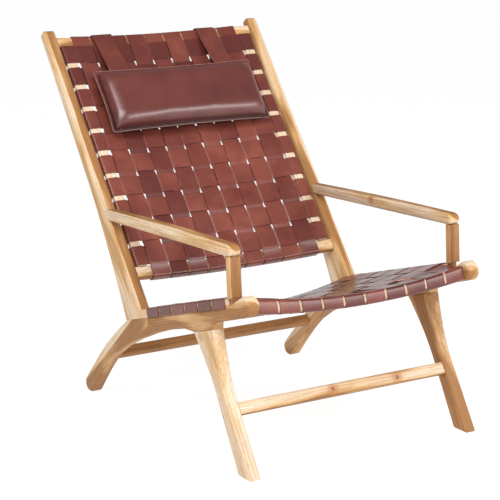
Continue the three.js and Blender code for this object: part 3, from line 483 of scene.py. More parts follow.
def write_grain(bm, along, sideways, board, seed, split):
    """Stores where each face corner lies from the pith, the board's tone and its heartwood's reach.

    The split gives the part past a plane its own run of the grain and its own tone.
    """
    board_tone, pith, heart = board
    grain = bm.loops.layers.float_vector.new("grain")
    tones = bm.loops.layers.float.new("tone")
    hearts = bm.loops.layers.float.new("heart")
    luck = random.Random(seed)

    def lay_run(faces, direction, run_tone):
        direction = direction.normalized()
        up = direction.cross(sideways).normalized()
        start = luck.uniform(0, 3)
        middles = []
        for axis in (up, sideways):
            reach = [vert.co.dot(axis) for face in faces for vert in face.verts]
            middles.append((min(reach) + max(reach)) / 2)
        for face in faces:
            for loop in face.loops:
                co = loop.vert.co
                loop[grain] = Vector((
                    start + co.dot(direction),
                    co.dot(up) - middles[0] - pith[0] * MM,
                    co.dot(sideways) - middles[1] - pith[1] * MM,
                ))
                loop[tones] = run_tone
                loop[hearts] = heart * MM

    if split:
        place, normal, direction, run_tone = split
        past = {face for face in bm.faces if (face.calc_center_median() - place).dot(normal) > 0}
        lay_run([face for face in bm.faces if face not in past], along, board_tone)
        lay_run(past, direction, run_tone)
    else:
        lay_run(bm.faces[:], along, board_tone)


def dress_timber(node_name, along, seed, sideways=ACROSS, split=None, round_over=EDGE_ROUND):
    """The node's own shape with its edges rounded over, and the grain run along it."""
    bm = merged_copy(node_name)
    bmesh.ops.dissolve_limit(bm, angle_limit=FLAT_ANGLE, verts=bm.verts, edges=bm.edges)
    sharp = [e for e in bm.edges if len(e.link_faces) == 2 and e.calc_face_angle(0) > SHARP_ANGLE]
    bmesh.ops.bevel(
        bm, geom=sharp, offset=round_over, segments=2, profile=0.5, affect="EDGES", material=-1,
        clamp_overlap=True,
    )
    if split:
        bmesh.ops.bisect_plane(
            bm, geom=bm.verts[:] + bm.edges[:] + bm.faces[:], plane_co=split[0], plane_no=split[1],
        )
    write_grain(bm, along, sideways, BOARDS[node_name], seed, split)
    piece = new_object(f"{node_name}_wood", bm, [timber])
    smooth(piece)
    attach(piece, "frame")
    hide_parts(node_name)


for number, side in enumerate(("left", "right")):
    rear_leg = (LEG_JOINT, SEAT_BACK, leaning(-41), REAR_LEG_TONES[number])
    dress_timber(f"side_rail_{side}", SEAT_BACK, 11 + number, split=rear_leg)
    dress_timber(f"front_leg_{side}", leaning(58.2), 21 + number)
    dress_timber(f"back_stile_{side}", BACK_UP, 31 + number)
    dress_timber(f"arm_post_{side}", leaning(86), 41 + number)
    dress_timber(f"armrest_{side}", leaning(-2.3), 51 + number)
    dress_timber(f"back_batten_{side}", BACK_UP, 61 + number, round_over=BATTEN_EDGE_ROUND)
for number, name in enumerate(CROSS_BOARDS):
    dress_timber(name, ACROSS, 71 + number, sideways=BACK_OUT)


# ---- strap courses
# A course is the middle line of a strap in the side view or the plan: (along, out) points in metres.

FIT = 0.3 * MM
LEATHER = 2.5 * MM
REST = FIT + LEATHER / 2
BEND_STEPS = 6
CROSSING_STEPS = 7
CLIMB_STEPS = 4
CLIMB_OVER = 2.2 * MM
STRAP_LINES = 5
STRAP_EDGE_ROUND = 0.45 * MM
TONE_RANGE = (0.16, 0.8)


def arc(centre, radius, start, end):
    """Points round a centre, between two angles in degrees."""
    points = []
    for step in range(BEND_STEPS + 1):
        turn = math.radians(start + (end - start) * step / BEND_STEPS)
        points.append(Vector((centre[0] + radius * math.cos(turn), centre[1] + radius * math.sin(turn))))
    return points


def mirrored(points):
    """The same points on the other side of the chair, in reverse order."""
    return [Vector((-point.x, point.y)) for point in reversed(points)]


def crossing(middle, width):
    """Where a strap of a width starts and ends to cross another."""
    return middle - width / 2, middle + width / 2


def woven(spans, levels, bulges, before, after):
    """Up and down over crossings, each at its level with a little swell, with soft climbs between them."""
    points = []
    last_end, last_level = before
    for (start, end), level, bulge in zip(spans, levels, bulges):
        start, end = start + CLIMB_OVER, end - CLIMB_OVER
        points += climb(last_end, last_level, start, level)
        for step in range(CROSSING_STEPS + 1):
            share = step / CROSSING_STEPS
            swell = bulge * math.sin(math.pi * share) ** 2
            points.append(Vector((start + (end - start) * share, level + swell)))
        last_end, last_level = end, level
    points += climb(last_end, last_level, *after)
    return points


def climb(from_at, from_level, to_at, to_level):
    points = []
    for step in range(1, CLIMB_STEPS):
        share = step / CLIMB_STEPS
        ease = share * share * (3 - 2 * share)
        level = from_level + (to_level - from_level) * ease
        points.append(Vector((from_at + (to_at - from_at) * share, level)))
    return points


def cut_strap(name, courses, edges, place, tone, flip):
    """A strap from courses along several lines across its width.

    Place turns (along, out, across) into the row frame, and flip turns the finished side out.
    """
    rows, columns = len(courses), len(courses[0])
    bm = bmesh.new()
    bmesh.ops.create_grid(bm, x_segments=columns - 1, y_segments=rows - 1, size=1, calc_uvs=False)
    tones = bm.verts.layers.float.new("tone")
    for vert in bm.verts:
        column = round((vert.co.x + 1) / 2 * (columns - 1))
        row = round((vert.co.y + 1) / 2 * (rows - 1))
        at = courses[row][column]
        vert.co = place(at.x, at.y, edges[row])
        vert[tones] = tone
    if flip:
        bmesh.ops.reverse_faces(bm, faces=bm.faces)
    piece = new_object(f"{name}_leather", bm, strap_finish)
    smooth(piece, 180)
    hide_wall = piece.modifiers.new("hide_thickness", "SOLIDIFY")
    hide_wall.thickness = LEATHER
    hide_wall.offset = 0
    hide_wall.use_even_offset = True
    hide_wall.material_offset = 2
    hide_wall.material_offset_rim = 1
    add_bevel(piece, STRAP_EDGE_ROUND)
    return piece


def lay_strap(name, courses, edges, place, tone, flip=False):
    """A strap that is fixed to the frame in the place of the node of its name."""
    piece = cut_strap(name, courses, edges, place, tone, flip)
    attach(piece, "frame")
    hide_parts(name)


def strap_tone(luck, darker=1.0):
    """The hides are close in colour, so a strap's share of the tone differs a little at random; darker scales
    it down as painted shade.
    """
    return darker * luck.uniform(*TONE_RANGE)


def strap_lines(middle, width):
    return [middle + width * (line / (STRAP_LINES - 1) - 0.5) for line in range(STRAP_LINES)]


# ---- the back's weave

STRAP_COUNT = 9
ROW_COUNT = 10
ROW_PITCH = 65 * MM
ROW_WIDTH = 51 * MM
ROW_MARGIN = 1 * MM
BATTEN_OUTER = 285 * MM
BATTEN_INNER = 256 * MM
BATTEN_DEPTH = 12 * MM
STRAP_GAP = 4.6 * MM
BATTEN_GAP = 8.1 * MM
STRAP_PITCH = (2 * (BATTEN_INNER - BATTEN_GAP) + STRAP_GAP) / STRAP_COUNT
STRAP_WIDTH = STRAP_PITCH - STRAP_GAP
BACK_BOW = 16 * MM
ROW_SPAN = 2 * ROW_MARGIN + ROW_WIDTH + (ROW_COUNT - 1) * ROW_PITCH
BACK_TOP = ROW_SPAN + 29 * MM
BACK_LOW = -31 * MM
TOP_DEPTH = 20 * MM
LOW_DEPTH = 22 * MM
RAIL_ROUND = 4 * MM
LIFT = LEATHER + FIT
TAIL = 15 * MM
# Painted shade: the left columns and the top rows of the back take a darker share of the tone, standing in
# for the shade on the weave's upper left.
SHADED_COLUMNS, COLUMN_PAINTED_SHADE = 3, 0.6
SHADED_ROWS, ROW_PAINTED_SHADE = 5, 0.55
STRAP_WANDER = 0.8 * MM
ROW_WANDER = 0.9 * MM
BATTEN_ROUND = 3 * MM


def bow(x):
    """How far the woven back is bowed rearwards at a place across it."""
    return -BACK_BOW * (1 - (x / INNER_FACE) ** 2)


def strap_middle(number):
    return (number - (STRAP_COUNT - 1) / 2) * STRAP_PITCH


def row_middle(number):
    return ROW_MARGIN + ROW_WIDTH / 2 + (ROW_COUNT - 1 - number) * ROW_PITCH


def is_over(first, second):
    return (first + second) % 2 == 0


def swells(luck, overs, fullness=1.0):
    """How far each crossing swells: outward where the strap is on top, inward where it is below."""
    return [fullness * (1 if over else -0.3) * luck.uniform(0.3, 1.3) * MM for over in overs]


def back_course(column, luck):
    """From the tail behind the bottom rail, round it, up the weave, over the top rail and down behind it."""
    rows = list(reversed(range(ROW_COUNT)))
    spans = [crossing(row_middle(row), ROW_WIDTH) for row in rows]
    overs = [is_over(column, row + 1) for row in rows]
    levels = [REST + (LIFT if over else 0) for over in overs]
    round_over = RAIL_ROUND + REST
    low = BACK_LOW + RAIL_ROUND
    high = BACK_TOP - RAIL_ROUND
    return (
        [Vector((low + TAIL, -LOW_DEPTH - REST))]
        + arc((low, RAIL_ROUND - LOW_DEPTH), round_over, -90, -180)
        + arc((low, -RAIL_ROUND), round_over, 180, 90)
        + woven(spans, levels, swells(luck, overs), (-RAIL_ROUND, REST), (high, REST))
        + arc((high, -RAIL_ROUND), round_over, 90, 0)
        + arc((high, RAIL_ROUND - TOP_DEPTH), round_over, 0, -90)
        + [Vector((high - TAIL, -TOP_DEPTH - REST))]
    )


def row_course(row, luck):
    """From the tail behind one batten, across the weave, to the tail behind the other."""
    columns = range(STRAP_COUNT)
    spans = [crossing(strap_middle(c), STRAP_WIDTH) for c in columns]
    overs = [not is_over(c, row + 1) for c in columns]
    levels = [REST + (LIFT if over else 0) for over in overs]
    lane = woven(spans, levels, swells(luck, overs), (-BATTEN_INNER, REST), (BATTEN_INNER, REST))
    for point in lane:
        point.y += bow(point.x)
    round_over = BATTEN_ROUND + REST
    edge = BATTEN_ROUND - BATTEN_OUTER
    wrap = (
        [Vector((-BATTEN_INNER - BATTEN_ROUND, -BATTEN_DEPTH - REST))]
        + arc((edge, BATTEN_ROUND - BATTEN_DEPTH), round_over, -90, -180)
        + arc((edge, -BATTEN_ROUND), round_over, 180, 90)
        + [Vector((-BATTEN_INNER, REST))]
    )
    return wrap + lane + mirrored(wrap)


def drift(at, seed, reach):
    """A strap's slow sideways wander from its true line."""
    return reach * noise.noise(Vector((at * 5, seed * 7.3, 0.4)))


def build_back():
    luck = random.Random(5)
    for column in range(STRAP_COUNT):
        edges = strap_lines(strap_middle(column), STRAP_WIDTH)
        course = back_course(column, luck)
        lay_strap(
            f"back_strap_{column + 1}", [course] * len(edges), edges,
            lambda up, out, x, seed=column: on_back(x + drift(up, seed, STRAP_WANDER), up, out + bow(x)),
            strap_tone(luck, COLUMN_PAINTED_SHADE if column < SHADED_COLUMNS else 1), flip=True,
        )
    for row in range(ROW_COUNT):
        edges = strap_lines(row_middle(row), ROW_WIDTH)
        course = row_course(row, luck)
        lay_strap(
            f"back_cross_strap_{row + 1}", [course] * len(edges), edges,
            lambda x, out, up, seed=row + 20: on_back(x, up + drift(x, seed, ROW_WANDER), out),
            strap_tone(luck, ROW_PAINTED_SHADE if row < SHADED_ROWS else 1),
        )


build_back()


# ---- the seat's weave

SEAT_STRAP_COUNT = 10
SEAT_STRAP_PITCH = 2 * INNER_FACE / SEAT_STRAP_COUNT
SEAT_STRAP_GAP = 6.6 * MM
SEAT_STRAP_WIDTH = SEAT_STRAP_PITCH - SEAT_STRAP_GAP
SIDE_STRAP_COUNT = 6
SIDE_STRAP_WIDTH = 56 * MM
SIDE_STRAP_GAP = 7.5 * MM
BLOCK_LENGTH = 97 * MM
BAND_END = BLOCK_LENGTH + SIDE_STRAP_COUNT * (SIDE_STRAP_WIDTH + SIDE_STRAP_GAP)
SEAT_SAG = 36 * MM
RAIL_DISH = 24 * MM
SEAT_LIFT = (LEATHER + FIT) / 2
SEAT_RAIL_START = 21 * MM
SEAT_RAIL_DEPTH = 26 * MM
SEAT_RAIL_ROUND = 5 * MM
REAR_RAIL_START = BAND_END + 12 * MM
TONGUE_ROUND = 3 * MM
TONGUE_OUTER = INNER_FACE + 32 * MM - LEATHER - FIT
WRAP_LOW = -20.7 * MM
SEAT_FULLNESS = 1.4
# Painted shade: all the seat's straps take a darker share of the tone, standing in for the shade on the seat.
SEAT_PAINTED_SHADE = 0.6


def seat_level(x):
    """How high the sagging seat's weave lies at a place across it."""
    return REST - SEAT_SAG * (1 - (x / INNER_FACE) ** 2)


def front_level(x):
    return REST - SEAT_SAG + RAIL_DISH * (x / INNER_FACE) ** 2


def rail_underside(level, x):
    """A seat rail is 24 mm thick at its middle and 29 mm at its ends."""
    return level(x) - REST - (24 + 5 * (x / INNER_FACE) ** 2) * MM


def seat_strap_middle(number):
    return (number - (SEAT_STRAP_COUNT - 1) / 2) * SEAT_STRAP_PITCH


def side_strap_middle(number):
    return BLOCK_LENGTH + (number + 0.5) * (SIDE_STRAP_WIDTH + SIDE_STRAP_GAP)


def seat_course(number, x, bulges):
    """From the tail below the front rail, round it, back along the weave, and round the rear rail."""
    rows = range(SIDE_STRAP_COUNT)
    spans = [crossing(side_strap_middle(row), SIDE_STRAP_WIDTH) for row in rows]
    levels = [seat_level(x) + (SEAT_LIFT if is_over(number, row) else -SEAT_LIFT) for row in rows]
    front_top = front_level(x) - REST
    front_low = rail_underside(front_level, x)
    rear_top = seat_level(x) - REST
    rear_low = rail_underside(seat_level, x)
    round_over = SEAT_RAIL_ROUND + REST
    near = SEAT_RAIL_START + SEAT_RAIL_ROUND
    near_back = SEAT_RAIL_START + SEAT_RAIL_DEPTH - SEAT_RAIL_ROUND
    far = REAR_RAIL_START + SEAT_RAIL_ROUND
    far_back = REAR_RAIL_START + SEAT_RAIL_DEPTH - SEAT_RAIL_ROUND
    return (
        [Vector((near_back, front_low - REST))]
        + arc((near, front_low + SEAT_RAIL_ROUND), round_over, -90, -180)
        + arc((near, front_top - SEAT_RAIL_ROUND), round_over, 180, 90)
        + [Vector((near_back, front_level(x)))]
        + woven(spans, levels, bulges, (near_back, front_level(x)), (far, rear_top + REST))
        + [Vector((far, rear_top + REST))]
        + arc((far_back, rear_top - SEAT_RAIL_ROUND), round_over, 90, 0)
        + arc((far_back, rear_low + SEAT_RAIL_ROUND), round_over, 0, -90)
        + [Vector((far, rear_low - REST))]
    )


def side_course(row, bulges):
    """Across the weave from one side rail's tongue to the other's, and down their outer faces."""
    columns = range(SEAT_STRAP_COUNT)
    spans = [crossing(seat_strap_middle(c), SEAT_STRAP_WIDTH) for c in columns]
    levels = [-SEAT_LIFT if is_over(c, row) else SEAT_LIFT for c in columns]
    start = INNER_FACE + TONGUE_ROUND
    lane = woven(spans, levels, bulges, (-start, 0), (start, 0))
    for point in lane:
        point.y += seat_level(point.x)
    wrap = (
        [Vector((-TONGUE_OUTER - REST, WRAP_LOW))]
        + arc((TONGUE_ROUND - TONGUE_OUTER, -TONGUE_ROUND), TONGUE_ROUND + REST, 180, 90)
        + [Vector((-start, REST))]
    )
    return wrap + lane + mirrored(wrap)


def build_seat():
    luck = random.Random(8)
    for number in range(SEAT_STRAP_COUNT):
        edges = strap_lines(seat_strap_middle(number), SEAT_STRAP_WIDTH)
        overs = [is_over(number, row) for row in range(SIDE_STRAP_COUNT)]
        bulges = swells(luck, overs, SEAT_FULLNESS)
        lay_strap(
            f"seat_strap_{number + 1}", [seat_course(number, x, bulges) for x in edges], edges,
            lambda along, above, x: on_seat(x, along, above),
            strap_tone(luck, SEAT_PAINTED_SHADE), flip=True,
        )
    for row in range(SIDE_STRAP_COUNT):
        edges = strap_lines(side_strap_middle(row), SIDE_STRAP_WIDTH)
        overs = [not is_over(number, row) for number in range(SEAT_STRAP_COUNT)]
        course = side_course(row, swells(luck, overs, SEAT_FULLNESS))
        lay_strap(
            f"seat_cross_strap_{row + 1}", [course] * len(edges), edges,
            lambda x, above, along: on_seat(x, along, above),
            strap_tone(luck, SEAT_PAINTED_SHADE),
        )


build_seat()


# ---- head cushion

CUSHION_WIDTH = 476 * MM
CUSHION_HEIGHT = 184 * MM
HALF_WIDTH = CUSHION_WIDTH / 2
HALF_HEIGHT = CUSHION_HEIGHT / 2
CUSHION_MIDDLE = ROW_SPAN - 93 * MM - HALF_HEIGHT
CUSHION_SEAM = 22 * MM
CUSHION_CROWN = 29 * MM
SEAM_FLANGE = 3.4 * MM
END_SHOULDER = 50 * MM
SIDE_SHOULDER = 46 * MM
GATHER_REACH = 30 * MM
# Painted shade by the seam: how far in it reaches, and how much further in it starts at the top.
PAINTED_SHADE_REACH = 24 * MM
TOP_PAINTED_SHADE_OFFSET = 16 * MM
WEAVE_CLEARANCE = 0.6 * MM
PAD_VOXEL = 4.5 * MM
PAD_THICKNESS_SHARE = 0.94
SWELL_PRESSURE = 4.0
SWELL_MOST = 4 * MM
SWELL_FRAMES = 20
EASINGS = 12
CORNER_POWER = 60
END_WAIST = 0.015
SIDE_WAIST = 0.04
OUTLINE_STEPS = 2000
FLANGE_THICKNESS = 2.7 * MM
FLANGE_EDGE_ROUND = 0.9 * MM
FLANGE_PITCH = 4 * MM
FLANGE_OUTER = 0.3 * MM
FLANGE_INNER = 9 * MM
STITCH_PITCH = 5.2 * MM
STITCH_INSET = 2.0 * MM
STITCH_RISE = 1.35 * MM


def cushion_frame():
    """Turns a place in the cushion's own frame, across, up and out, into the row frame."""
    turn = Matrix((ACROSS, BACK_UP, BACK_OUT)).transposed().to_4x4()
    return Matrix.Translation(on_back(0, CUSHION_MIDDLE, CUSHION_SEAM)) @ turn


def apply_modifiers(piece):
    evaluated = piece.evaluated_get(bpy.context.evaluated_depsgraph_get())
    finished = bpy.data.meshes.new_from_object(evaluated)
    piece.modifiers.clear()
    piece.data = finished


def swell_pad(piece):
    """Blows the pad up as cloth, and keeps each point within a distance of where it was."""
    start = [vert.co.copy() for vert in piece.data.vertices]
    cloth = piece.modifiers.new("stuffing", "CLOTH")
    cloth.settings.use_pressure = True
    cloth.settings.uniform_pressure_force = SWELL_PRESSURE
    cloth.settings.effector_weights.gravity = 0
    cloth.settings.mass = 0.3
    cloth.settings.tension_stiffness = 20
    cloth.settings.bending_stiffness = 2
    cloth.point_cache.frame_start = 1
    cloth.point_cache.frame_end = SWELL_FRAMES
    for step in range(1, SWELL_FRAMES + 1):
        scene.frame_set(step)
    apply_modifiers(piece)
    scene.frame_set(1)
    for vert, was in zip(piece.data.vertices, start):
        moved = vert.co - was
        if moved.length > SWELL_MOST:
            vert.co = was + moved * (SWELL_MOST / moved.length)


def reshape(piece, to_pad, rule):
    """Moves each point by a rule in the cushion's own frame, which gives None for a point that stays."""
    to_cushion = to_pad.inverted()
    for vert in piece.data.vertices:
        moved = rule(to_cushion @ vert.co)
        if moved is not None:
            vert.co = to_pad @ moved


def gathered(local):
    """Small gathers in the leather, strongest by the seam."""
    inside = min(HALF_WIDTH - abs(local.x), HALF_HEIGHT - abs(local.y))
    near = max(0.0, 1 - inside / GATHER_REACH)
    ripple = noise.noise(Vector((local.x * 42, local.y * 42, local.z * 20 + 3)))
    soft = noise.noise(Vector((local.x * 9, local.y * 12, 5.5)))
    lift = (0.35 * near * ripple + 0.4 * soft) * MM
    local.z += lift * (1 if local.z > 0 else -0.4)
    return local


def shoulder(distance, reach):
    """How full the pad is at a distance from its seam: steep at the seam, level past its reach."""
    share = min(1.0, max(0.0, distance / reach))
    return math.sqrt(1 - (1 - share) ** 2)


def crowned(local):
    """The front's crown, which falls off in soft shoulders to the seam; the back stays."""
    if local.z <= 0:
        return None
    ends = shoulder(HALF_WIDTH - SEAM_FLANGE - abs(local.x), END_SHOULDER)
    sides = shoulder(HALF_HEIGHT - SEAM_FLANGE - abs(local.y), SIDE_SHOULDER)
    local.z = CUSHION_CROWN * ends * sides
    return local


def ease_lumps(piece):
    bm = bmesh.new()
    bm.from_mesh(piece.data)
    axes = {"use_axis_x": True, "use_axis_y": True, "use_axis_z": True}
    for _ in range(EASINGS):
        bmesh.ops.smooth_vert(bm, verts=bm.verts, factor=0.5, **axes)
    bm.to_mesh(piece.data)
    bm.free()


def clear_of_weave(local):
    """Keeps the pad's back just clear of the weave behind it."""
    rest = bow(local.x) + REST + LIFT + LEATHER / 2 + WEAVE_CLEARANCE - CUSHION_SEAM
    if local.z >= rest:
        return None
    local.z = rest
    return local


def paint_seam_shade(piece, to_pad):
    """Painted shade in the pad's tone: darker where the leather turns in to the seam, and least at the top.
    """
    to_cushion = to_pad.inverted()
    tones = piece.data.attributes.new("tone", "FLOAT", "POINT")
    for vert, mark in zip(piece.data.vertices, tones.data):
        local = to_cushion @ vert.co
        from_end = HALF_WIDTH - abs(local.x)
        from_top = HALF_HEIGHT - local.y
        from_foot = HALF_HEIGHT + local.y
        inside = min(from_end, from_top + TOP_PAINTED_SHADE_OFFSET, from_foot)
        mark.value = 0.5 * min(1.0, max(0.0, inside / PAINTED_SHADE_REACH))


def seam_point(turn, inset):
    """A point of the cushion's outline, by the share of a turn round it, moved in by a distance."""
    angle = turn * 2 * math.pi
    c, s = math.cos(angle), math.sin(angle)
    square = max(abs(c), abs(s))
    u, v = c / square, s / square
    softer = (abs(u) ** CORNER_POWER + abs(v) ** CORNER_POWER) ** (-1 / CORNER_POWER)
    u, v = u * softer, v * softer
    x = (HALF_WIDTH * (1 - END_WAIST * (1 - v * v)) - inset) * u
    y = (HALF_HEIGHT * (1 - SIDE_WAIST * (1 - u * u)) - inset) * v
    ripple = noise.noise(Vector((x * 55, y * 55, 1.7)))
    return Vector((x, y, 0.7 * MM * ripple))


def outline_turns(pitch):
    """Shares of a turn that step round the outline by an even distance."""
    fine = [seam_point(step / OUTLINE_STEPS, 0) for step in range(OUTLINE_STEPS + 1)]
    turns, travelled, wanted = [], 0.0, 0.0
    for step in range(OUTLINE_STEPS):
        travelled += (fine[step + 1].xy - fine[step].xy).length
        if travelled >= wanted:
            turns.append(step / OUTLINE_STEPS)
            wanted += pitch
    return turns


def build_flange(to_pad):
    """The two leathers pressed together outside the seam."""
    turns = outline_turns(FLANGE_PITCH)
    count = len(turns)
    bm = bmesh.new()
    bmesh.ops.create_grid(bm, x_segments=count, y_segments=1, size=1, calc_uvs=False)
    tones = bm.verts.layers.float.new("tone")
    for vert in bm.verts:
        column = round((vert.co.x + 1) / 2 * count)
        inset = FLANGE_OUTER if vert.co.y > 0 else FLANGE_INNER
        place = seam_point(turns[column % count], inset)
        # Painted shade and light: the flange's tone is darker towards the bottom and lighter towards the top.
        vert[tones] = 0.35 + 0.6 * place.y / CUSHION_HEIGHT
        vert.co = to_pad @ place
    bmesh.ops.remove_doubles(bm, verts=bm.verts, dist=0.05 * MM)
    bmesh.ops.recalc_face_normals(bm, faces=bm.faces)
    flange = new_object("head_cushion_seam", bm, [cushion_leather])
    smooth(flange, 60)
    wall = flange.modifiers.new("two_hides", "SOLIDIFY")
    wall.thickness = FLANGE_THICKNESS
    wall.offset = 0
    add_bevel(flange, FLANGE_EDGE_ROUND)
    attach(flange, "head_rest")


def stamp_all(name, shape, places, finish, angle):
    """One piece of a small shape repeated at many places."""
    bm = bmesh.new()
    for place in places:
        stamp = shape.copy()
        stamp.transform(place)
        bm.from_mesh(stamp)
        bpy.data.meshes.remove(stamp)
    bpy.data.meshes.remove(shape)
    piece = new_object(name, bm, [finish])
    smooth(piece, angle)
    return piece


def stitch_shape():
    bm = bmesh.new()
    bmesh.ops.create_uvsphere(bm, u_segments=6, v_segments=4, radius=1)
    bmesh.ops.scale(bm, vec=(1.9 * MM, 0.5 * MM, 0.45 * MM), verts=bm.verts)
    return as_mesh("stitch", bm)


def build_stitches(to_pad):
    """Waxed thread along the flange, on both faces."""
    places = []
    for turn in outline_turns(STITCH_PITCH):
        here = seam_point(turn, STITCH_INSET)
        ahead = seam_point((turn + 0.001) % 1, STITCH_INSET)
        spin = math.atan2(ahead.y - here.y, ahead.x - here.x)
        for face in (1, -1):
            raised = Matrix.Translation(here + Vector((0, 0, face * STITCH_RISE)))
            places.append(to_pad @ raised @ Matrix.Rotation(spin, 4, "Z"))
    stitches = stamp_all("head_cushion_stitches", stitch_shape(), places, thread, 180)
    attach(stitches, "head_rest")


def build_cushion(to_pad):
    """The padded leather: the solid drawn in from its seam, remeshed, crowned, blown up and gathered, with
    painted shade by its seam.
    """
    bm = merged_copy("head_cushion")
    to_cushion = to_pad.inverted()
    width = 1 - 2 * SEAM_FLANGE / CUSHION_WIDTH
    height = 1 - 2 * SEAM_FLANGE / CUSHION_HEIGHT
    for vert in bm.verts:
        local = to_cushion @ vert.co
        vert.co = to_pad @ Vector((local.x * width, local.y * height, local.z * PAD_THICKNESS_SHARE))
    pad = new_object("head_cushion_leather", bm, [cushion_leather])
    voxels = pad.modifiers.new("even_mesh", "REMESH")
    voxels.mode = "VOXEL"
    voxels.voxel_size = PAD_VOXEL
    apply_modifiers(pad)
    reshape(pad, to_pad, crowned)
    swell_pad(pad)
    ease_lumps(pad)
    reshape(pad, to_pad, gathered)
    reshape(pad, to_pad, clear_of_weave)
    paint_seam_shade(pad, to_pad)
    pad.data.shade_smooth()
    pad.data.materials.clear()
    pad.data.materials.append(cushion_leather)
    rounding = pad.modifiers.new("smooth_skin", "SUBSURF")
    rounding.levels = rounding.render_levels = 1
    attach(pad, "head_rest")
    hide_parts("head_cushion")


pad_frame = cushion_frame()
build_cushion(pad_frame)
build_flange(pad_frame)
build_stitches(pad_frame)


# ---- hanging straps

HANG_SPACING = 314 * MM
HANG_WIDTH = 56 * MM
HANG_OUTER = (HANG_SPACING + HANG_WIDTH) / 2
HANG_INNER = (HANG_SPACING - HANG_WIDTH) / 2
HANG_REST = REST + LIFT
HANG_ROUND = RAIL_ROUND + HANG_REST
HANG_TAIL = 16 * MM
HANG_END = 543.84 * MM
HANG_SAG = 2.2 * MM
HANG_STEPS = 16
SEWN_STEP = 6 * MM


def hang_course():
    """From the tail behind the top rail, over it, and down to the cushion's top seam."""
    centre = Vector((BACK_TOP - RAIL_ROUND, bow(HANG_OUTER) - RAIL_ROUND))
    rear = bow(HANG_INNER) - TOP_DEPTH
    end = Vector((HANG_END, CUSHION_SEAM))
    reach = end - centre
    leave = math.degrees(math.atan2(reach.y, reach.x) - math.acos(HANG_ROUND / reach.length))
    over = arc((centre.x, rear + RAIL_ROUND), HANG_ROUND, -90, 0) + arc(centre, HANG_ROUND, 0, leave)
    hinge = over[-1]
    run = []
    for step in range(1, HANG_STEPS + 1):
        share = step / HANG_STEPS
        point = hinge.lerp(end, share)
        run.append(Vector((point.x, point.y - HANG_SAG * math.sin(math.pi * share))))
    sewn_in = [Vector((end.x - SEWN_STEP * step, end.y)) for step in (1, 2)]
    return [Vector((centre.x - HANG_TAIL, rear - HANG_REST))] + over + run + sewn_in, hinge, end


def build_hang_straps():
    """Each strap is one piece that bends over the top rail, from the frame to the cushion."""
    course, hinge, end = hang_course()
    luck = random.Random(3)
    for side, sign in (("left", -1), ("right", 1)):
        middle = sign * HANG_SPACING / 2
        edges = strap_lines(middle, HANG_WIDTH)
        piece = cut_strap(
            f"hang_strap_{side}", [course] * len(edges), edges,
            lambda up, out, x: on_back(x, up, out),
            0.22 + 0.1 * luck.random(), flip=False,
        )
        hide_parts(f"hang_strap_{side}", f"hang_anchor_{side}")
        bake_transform(piece)


build_hang_straps()


# ---- tacks

TACK_ASIDE = 13 * MM
HANG_TACK_ASIDE = 15 * MM
RAIL_TACK_INSET = 14 * MM
BATTEN_TACK_PLACE = 264 * MM
FRONT_TACK_PLACE = SEAT_RAIL_START + 20 * MM
REAR_TACK_PLACE = REAR_RAIL_START + 11 * MM
CLEAR_OF_HANG_STRAP = 3 * MM


def tack_shape():
    """A low domed head on its shank, turned about its axis."""
    bm = bmesh.new()
    profile = [(0, 1.0), (1.4, 0.85), (2.5, 0.35), (2.9, -0.1), (2.7, -0.3)]
    verts = [bm.verts.new((radius * MM, 0, height * MM)) for radius, height in profile]
    edges = [bm.edges.new(pair) for pair in zip(verts, verts[1:])]
    bmesh.ops.spin(
        bm, geom=verts + edges, cent=(0, 0, 0), axis=(0, 0, 1), dvec=(0, 0, 0), angle=2 * math.pi, steps=10,
        use_merge=True,
    )
    bmesh.ops.remove_doubles(bm, verts=bm.verts, dist=0.01 * MM)
    rim = [edge for edge in bm.edges if edge.is_boundary]
    bmesh.ops.contextual_create(bm, geom=rim)
    bmesh.ops.recalc_face_normals(bm, faces=bm.faces)
    return as_mesh("tack", bm)


def tack_seats():
    """Two tacks to each strap's tail: where each one sits, and which way it faces."""
    behind, below = [], []
    face = REST + LEATHER / 2
    for column in range(STRAP_COUNT):
        for offset in (-TACK_ASIDE, TACK_ASIDE):
            x = strap_middle(column) + offset
            if abs(abs(x) - HANG_SPACING / 2) > HANG_WIDTH / 2 + CLEAR_OF_HANG_STRAP:
                behind.append(on_back(x, BACK_TOP - RAIL_TACK_INSET, bow(x) - TOP_DEPTH - face))
            behind.append(on_back(x, BACK_LOW + RAIL_TACK_INSET, bow(x) - LOW_DEPTH - face))
    for row in range(ROW_COUNT):
        for offset in (-TACK_ASIDE, TACK_ASIDE):
            for sign in (-1, 1):
                up = row_middle(row) + offset
                behind.append(on_back(sign * BATTEN_TACK_PLACE, up, -BATTEN_DEPTH - face))
    hang_face = bow(HANG_INNER) - TOP_DEPTH - HANG_REST - LEATHER / 2
    for sign in (-1, 1):
        for offset in (-HANG_TACK_ASIDE, HANG_TACK_ASIDE):
            x = sign * HANG_SPACING / 2 + offset
            behind.append(on_back(x, BACK_TOP - RAIL_TACK_INSET, hang_face))
    for number in range(SEAT_STRAP_COUNT):
        for offset in (-TACK_ASIDE, TACK_ASIDE):
            x = seat_strap_middle(number) + offset
            below.append(on_seat(x, FRONT_TACK_PLACE, rail_underside(front_level, x) - face))
            below.append(on_seat(x, REAR_TACK_PLACE, rail_underside(seat_level, x) - face))
    return [(place, -BACK_OUT) for place in behind] + [(place, -SEAT_UP) for place in below]


def drive_tacks():
    places = []
    for point, direction in tack_seats():
        turn = direction.to_track_quat("Z", "Y").to_matrix().to_4x4()
        places.append(Matrix.Translation(point) @ turn)
    tacks = stamp_all("strap_tacks", tack_shape(), places, brass, 50)
    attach(tacks, "frame")


drive_tacks()


# ---- stage, light and camera

